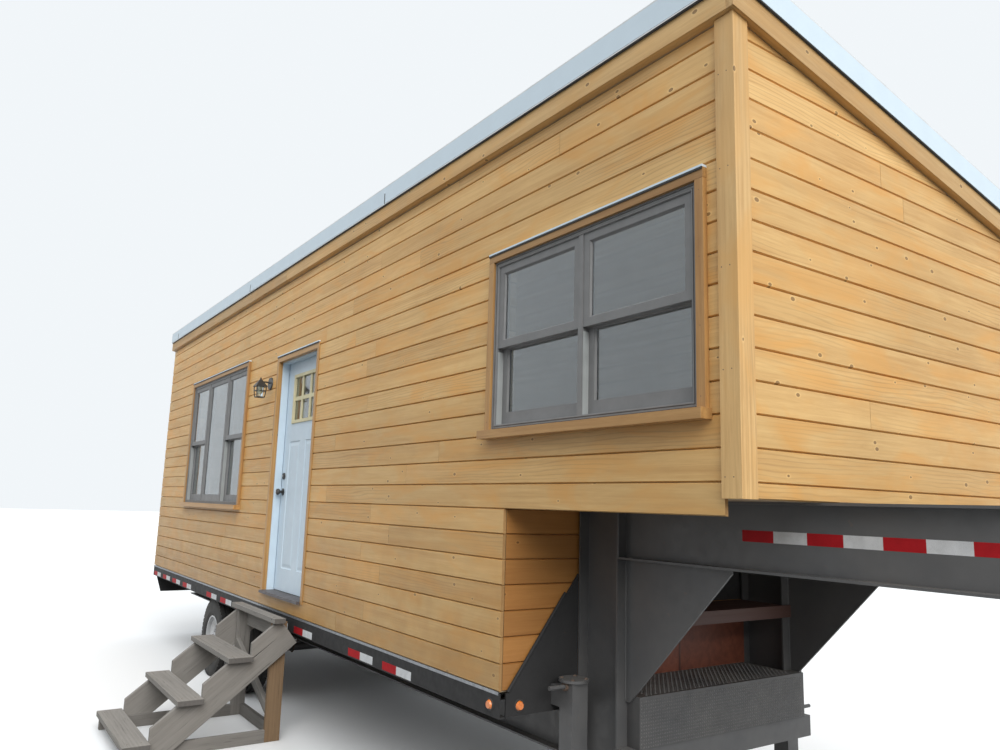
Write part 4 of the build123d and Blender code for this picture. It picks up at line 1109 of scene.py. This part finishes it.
# Nails in the corner boards and the near casings, and screws in the steps
nail_pitch = 0.405
nail_bottom, nail_top = 0.08, 0.12
nail_edge = 0.018
corner_nail = (-0.0008, 0.0004, 0.0026, 8)
casing_nail = (-0.0008, 0.0004, 0.0022, 8)
casing_nails = (0.05, 0.35, 0.65, 0.95)
casing_leg = 0.2
tread_screw = (-sunk, 0.0006, 0.0045)
tread_screws = (0.25, 0.75)
bm = bmesh.new()
for low, high in solids("corner_boards"):
    out, face = outer_face(low, high)
    for z in np.arange(low.z + nail_bottom, high.z - nail_top, nail_pitch):
        for inset in (nail_edge, corner_side - nail_edge):
            peg(bm, Vector((x_front - inset, face, z)), y_way * out, *corner_nail)
for low, high in solids("window_casings"):
    if high.z - low.z < casing_leg or high.y > y_mid:
        continue
    for share in casing_nails:
        at = low.lerp(high, share)
        at.x, at.y = (low.x + high.x) / 2, low.y
        peg(bm, at, -y_way, *casing_nail)
piece("trim_nails", bm, "rust_steel")
stringer_boxes = sorted(solids("stair_stringers"), key=lambda pair: pair[0].x)
bm = bmesh.new()
for low, high in solids("stair_treads"):
    for stringer_low, stringer_high in stringer_boxes:
        x = (stringer_low.x + stringer_high.x) / 2
        for share in tread_screws:
            at = Vector((x, low.y + (high.y - low.y) * share, high.z))
            peg(bm, at, z_way, *tread_screw)
piece("step_screws", bm, "rust_steel")

# Tyres, as (radius, offset) from the bead over the wall and the ribs to the middle, with two rows of shoulder blocks
tyre_profile = [(0.2105, -0.098), (0.225, -0.104), (0.25, -0.113), (0.256, -0.1155), (0.262, -0.114)]
tyre_profile += [(0.3, -0.116), (0.335, -0.113), (0.342, -0.1125), (0.36, -0.106), (0.374, -0.096)]
tyre_profile += [(0.38, -0.084), (0.381, -0.054), (0.372, -0.052), (0.372, -0.044), (0.3815, -0.042)]
tyre_profile += [(0.382, -0.006), (0.372, -0.004)]
tyre_profile += [(r, -w) for r, w in reversed(tyre_profile)]
block_count = 54
block_half = 0.0155
block_base, block_top = 0.366, 0.3842
block_width = 0.047
block_rows = ((-0.104, spokes(block_count)), (0.057, spokes(block_count, math.pi / block_count)))
bm = bmesh.new()
wheel_places = []
for low, high in solids("tyres"):
    centre = (low + high) / 2
    wheel_places.append(centre)
    turned(bm, centre, tyre_profile)
    for near_edge, ways in block_rows:
        for way in ways:
            along = way.cross(y_way) * block_half
            base = centre + y_way * near_edge + way * block_base
            top = base + way * (block_top - block_base)
            prism(bm, [base - along, base + along, top + along, top - along], y_way * block_width)
piece("tyre_treads", bm, "tyre_rubber", replaces=("tyres",), smooth=32)

# Wheel nuts on their studs, hub caps and valves
nut_count = 8
nut_turn = 0.2
nut_circle = 0.069
disc_out = 0.052
nut = (-sunk, 0.014, 0.0115, 6, 0.01)
nut_stud = (0.012, 0.02, 0.006)
hub_cap = (0.037, 0.047, 0.034, 28, 0.028)
cap_button = (0.046, 0.051, 0.012, 20, 0.009)
valve = (0.05, 0.086, 0.0045, 10)
valve_place = Vector((0.155, 0, 0.06))
bm = bmesh.new()
for centre in wheel_places:
    way = y_way * (-1 if centre.y < y_mid else 1)
    disc = centre + way * disc_out
    for spoke in spokes(nut_count, nut_turn):
        at = disc + spoke * nut_circle
        peg(bm, at, way, *nut)
        peg(bm, at, way, *nut_stud)
    peg(bm, disc, way, *hub_cap)
    peg(bm, disc, way, *cap_button)
    peg(bm, centre + valve_place, way, *valve)
piece("wheel_nuts", bm, "steel", smooth=35)

# Springs: U-bolts round the axles with their plates, and bolts through the hangers
axle_z = 0.385
spring_top = 0.466
hanger_z = 0.506
hanger_in = 0.014
plate_half = 0.066
plate_past = 0.02
plate_thick = 0.01
u_reach = 0.049
u_aside = 0.009
u_end = 0.03
u_radius = 0.0065
u_nut = (0.011, 0.012)
hanger_bolt = (0.012, 0.01)
bm = bmesh.new()
for low, high in solids("springs"):
    x = (low.x + high.x) / 2
    plate_top = spring_top + plate_thick
    brick(bm, (x - plate_half, low.y - plate_past, spring_top), (x + plate_half, high.y + plate_past, plate_top))
    for y in (low.y - u_aside, high.y + u_aside):
        arc = [Vector((x, y, axle_z)) + spoke * u_reach for spoke in spokes(16, math.pi)[:9]]
        ends = [Vector((x + side * u_reach, y, spring_top + u_end)) for side in (-1, 1)]
        bent(bm, [ends[0], *arc, ends[1]], u_radius)
        for side in (-1, 1):
            bolt(bm, (x + side * u_reach, y, plate_top), z_way, *u_nut)
    for end in (low.x + hanger_in, high.x - hanger_in):
        bolt(bm, (end, low.y, hanger_z), -y_way, *hanger_bolt)
        bolt(bm, (end, high.y, hanger_z), y_way, *hanger_bolt)
piece("spring_bolts", bm, "rust_steel")

# Tread plate: raised lozenges on the tool box's front and top, every other one turned
lug_long = 0.015
lug_wide = 0.0062
lug_rise = 0.002
lug_sunk = 0.0006
lug_taper = 0.62
lug_pitch = 0.0165
lug_margin = 0.012
half = math.sqrt(0.5)
box_low, box_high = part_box("toolbox")


def lug_sheet(bm, corner, one, other, one_count, other_count):
    """Lozenges over a face, in rows along two directions from a corner."""
    out = one.cross(other)
    for i in range(one_count):
        for j in range(other_count):
            at = corner + one * lug_pitch * i + other * lug_pitch * j
            slant = half if (i + j) % 2 else -half
            along = (one * half + other * slant) * lug_long / 2
            across = (other * half - one * slant) * lug_wide / 2
            tips = (along, across, -along, -across)
            base = [bm.verts.new(at + tip - out * lug_sunk) for tip in tips]
            closed(bm, base, [bm.verts.new(at + tip * lug_taper + out * lug_rise) for tip in tips])


front_corner = Vector((box_high.x, box_low.y + lug_margin, box_low.z + lug_margin))
front_rows = int((box_high.z - box_low.z - lug_margin) / lug_pitch)
front_count = int((box_high.y - box_low.y - lug_margin) / lug_pitch)
top_corner = Vector((box_low.x + 2 * lug_margin, bay_near + lug_margin, box_high.z))
top_rows = int((box_high.x - box_low.x - 2 * lug_margin) / lug_pitch)
top_count = int((bay_far - bay_near - lug_margin) / lug_pitch)
bm = bmesh.new()
lug_sheet(bm, front_corner, y_way, z_way, front_count, front_rows)
lug_sheet(bm, top_corner, x_way, y_way, top_rows, top_count)
piece("tread_lugs", bm, "lug_grey")

# Weld beads round the gussets and down the risers
weld_in = 0.002
weld_end = 0.01
riser_in = 0.004
riser_top = 0.012
bm = bmesh.new()
for low, high in solids("neck_gussets"):
    for y in (low.y - sunk, high.y + sunk):
        x, z = low.x + weld_in, high.z - weld_in
        weld(bm, (x, y, low.z + weld_end), (x, y, high.z - weld_end))
        weld(bm, (low.x + weld_end, y, z), (high.x - weld_end, y, z))
for low, high in riser_boxes:
    for y in (low.y + riser_in, high.y - riser_in):
        weld(bm, (high.x + sunk, y, neck_low.z + weld_in), (high.x + sunk, y, neck_high.z - riser_top))
piece("weld_beads", bm, "trailer_grey", smooth=60)

# Rims behind the marker lamps, on the side rails and on the front
lamp_rim = (-sunk, 0.004, 0.0335, 32, 0.031)
bm = bmesh.new()
for low, high in solids("marker_lamps"):
    back = (low + high) / 2
    way = x_way
    if high.x - low.x < high.y - low.y:
        back.x = low.x
    else:
        way = y_way * outer_face(low, high)[0]
        back.y = high.y if low.y < y_mid else low.y
    peg(bm, back, way, *lamp_rim)
piece("lamp_rims", bm, "seal_and_shade_black", smooth=40)

# Jacks: cap bolts, a pull pin with its ring, and a boss for the crank
jack_in = 0.373
jack_half = 0.051
cap_circle = 0.062
cap_bolt = (0.007, 0.005)
pin_z = 0.275
pin = (-sunk, 0.03, 0.008, 14)
ring_place = (0.026, -0.016)
ring_radius, ring_wire = 0.018, 0.002
boss_z = 0.93
boss = (-sunk, 0.012, 0.021, 20)
bm = bmesh.new()
for low, high in solids("jacks"):
    out = -1 if low.y < y_mid - 0.5 else 1
    way = y_way * out
    centre = Vector(((low.x + high.x) / 2, (y_near if out < 0 else y_far) - out * jack_in, 0))
    for spoke in spokes(4, math.pi / 4):
        bolt(bm, centre + spoke.xzy * cap_circle + z_way * high.z, z_way, *cap_bolt)
    face = centre + way * jack_half
    peg(bm, face + z_way * pin_z, way, *pin)
    hung = face + way * ring_place[0] + z_way * (pin_z + ring_place[1])
    ring = [hung + spoke * ring_radius for spoke in spokes(12)]
    bent(bm, [*ring, ring[0]], ring_wire, 6)
    peg(bm, face + z_way * boss_z, way, *boss)
piece("jack_pins", bm, "rust_steel", smooth=40)

# Coupler: collars round its post, clamp bolts, and a latch handle as (aside, height)
collar = (-0.007, 0.007, 0.057, 36)
collar_places = (0.045, 0.115)
clamp_out = 0.063
clamp_places = (1.62, 1.72)
clamp_bolt = (0.013, 0.016)
handle = [(0.051, 1.24), (0.16, 1.24), (0.19, 1.3)]
handle_radius = 0.008
coupler_low, coupler_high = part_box("coupler")
post = (coupler_low + coupler_high) / 2
bm = bmesh.new()
for up in collar_places:
    post.z = coupler_low.z + up
    peg(bm, post, z_way, *collar)
for z in clamp_places:
    bolt(bm, (post.x + clamp_out, post.y, z), x_way, *clamp_bolt)
bent(bm, [Vector((post.x, post.y - aside, z)) for aside, z in handle], handle_radius)
piece("coupler_latch", bm, "trailer_grey", smooth=40)

# Camera at the photograph's place
camera_place = (6.385, -3.053, 1.83)
camera_azimuth = 55.49
camera_pitch = 9.445
camera_roll = 1.74
camera_data = bpy.data.cameras.new("camera")
camera_data.lens = 28.245
camera_data.sensor_width = 36
scene.camera = show("camera", camera_data)
scene.camera.matrix_world = (
    Matrix.Translation(camera_place)
    @ Matrix.Rotation(math.radians(camera_azimuth), 4, "Z")
    @ Matrix.Rotation(math.radians(90 + camera_pitch), 4, "X")
    @ Matrix.Rotation(math.radians(camera_roll), 4, "Z")
)

# Pale floor, which gives back less light than it shows, so that the shadow stays
floor_radius = 90
floor_mesh = bpy.data.meshes.new("floor")
bm = bmesh.new()
bmesh.ops.create_circle(bm, cap_ends=True, segments=96, radius=floor_radius)
bm.to_mesh(floor_mesh)
bm.free()
floor = show("floor", floor_mesh)
floor.location.z = -0.001
floor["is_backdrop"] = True
ground = Paint("pale_floor", 0.9)
ground.paint(ground.mix(ground.seen_directly(), (0.09, 0.087, 0.08), (0.86, 0.87, 0.88)))
floor_mesh.materials.append(looks["pale_floor"])

# Soft studio light: a sky that is brighter overhead and shows as one pale tone, and one broad lamp from the front
sky_low = 0.31
sky_high = 1.16
sky_gain = 1.25
sky_shown = 0.95
scene.world = bpy.data.worlds.new("studio")
scene.world.use_nodes = True
sky = Nodes(scene.world.node_tree)
height = sky.math("MAXIMUM", sky.parts(sky.node("TexCoord").outputs["Generated"])[2], 0)
given = sky.math("MINIMUM", sky.math("ADD", sky.times(height, sky_gain), sky_low), sky_high)
strength = sky.math("ADD", sky.times(sky.seen_directly(), sky.math("SUBTRACT", sky_shown, given)), given)
background = sky.tree.nodes["Background"]
background.inputs["Color"].default_value = (0.93, 0.97, 1, 1)
sky.feed(background.inputs["Strength"], strength)

lamp_data = bpy.data.lights.new("day", "SUN")
lamp_data.energy = 2.6
lamp_data.angle = math.radians(50)
lamp_data.color = (1, 0.98, 0.95)
lamp = show("day", lamp_data)
lamp.rotation_euler = Vector((0.76, -0.21, 0.6)).to_track_quat("Z", "Y").to_euler()

scene.view_settings.view_transform = "Standard"

low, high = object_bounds()
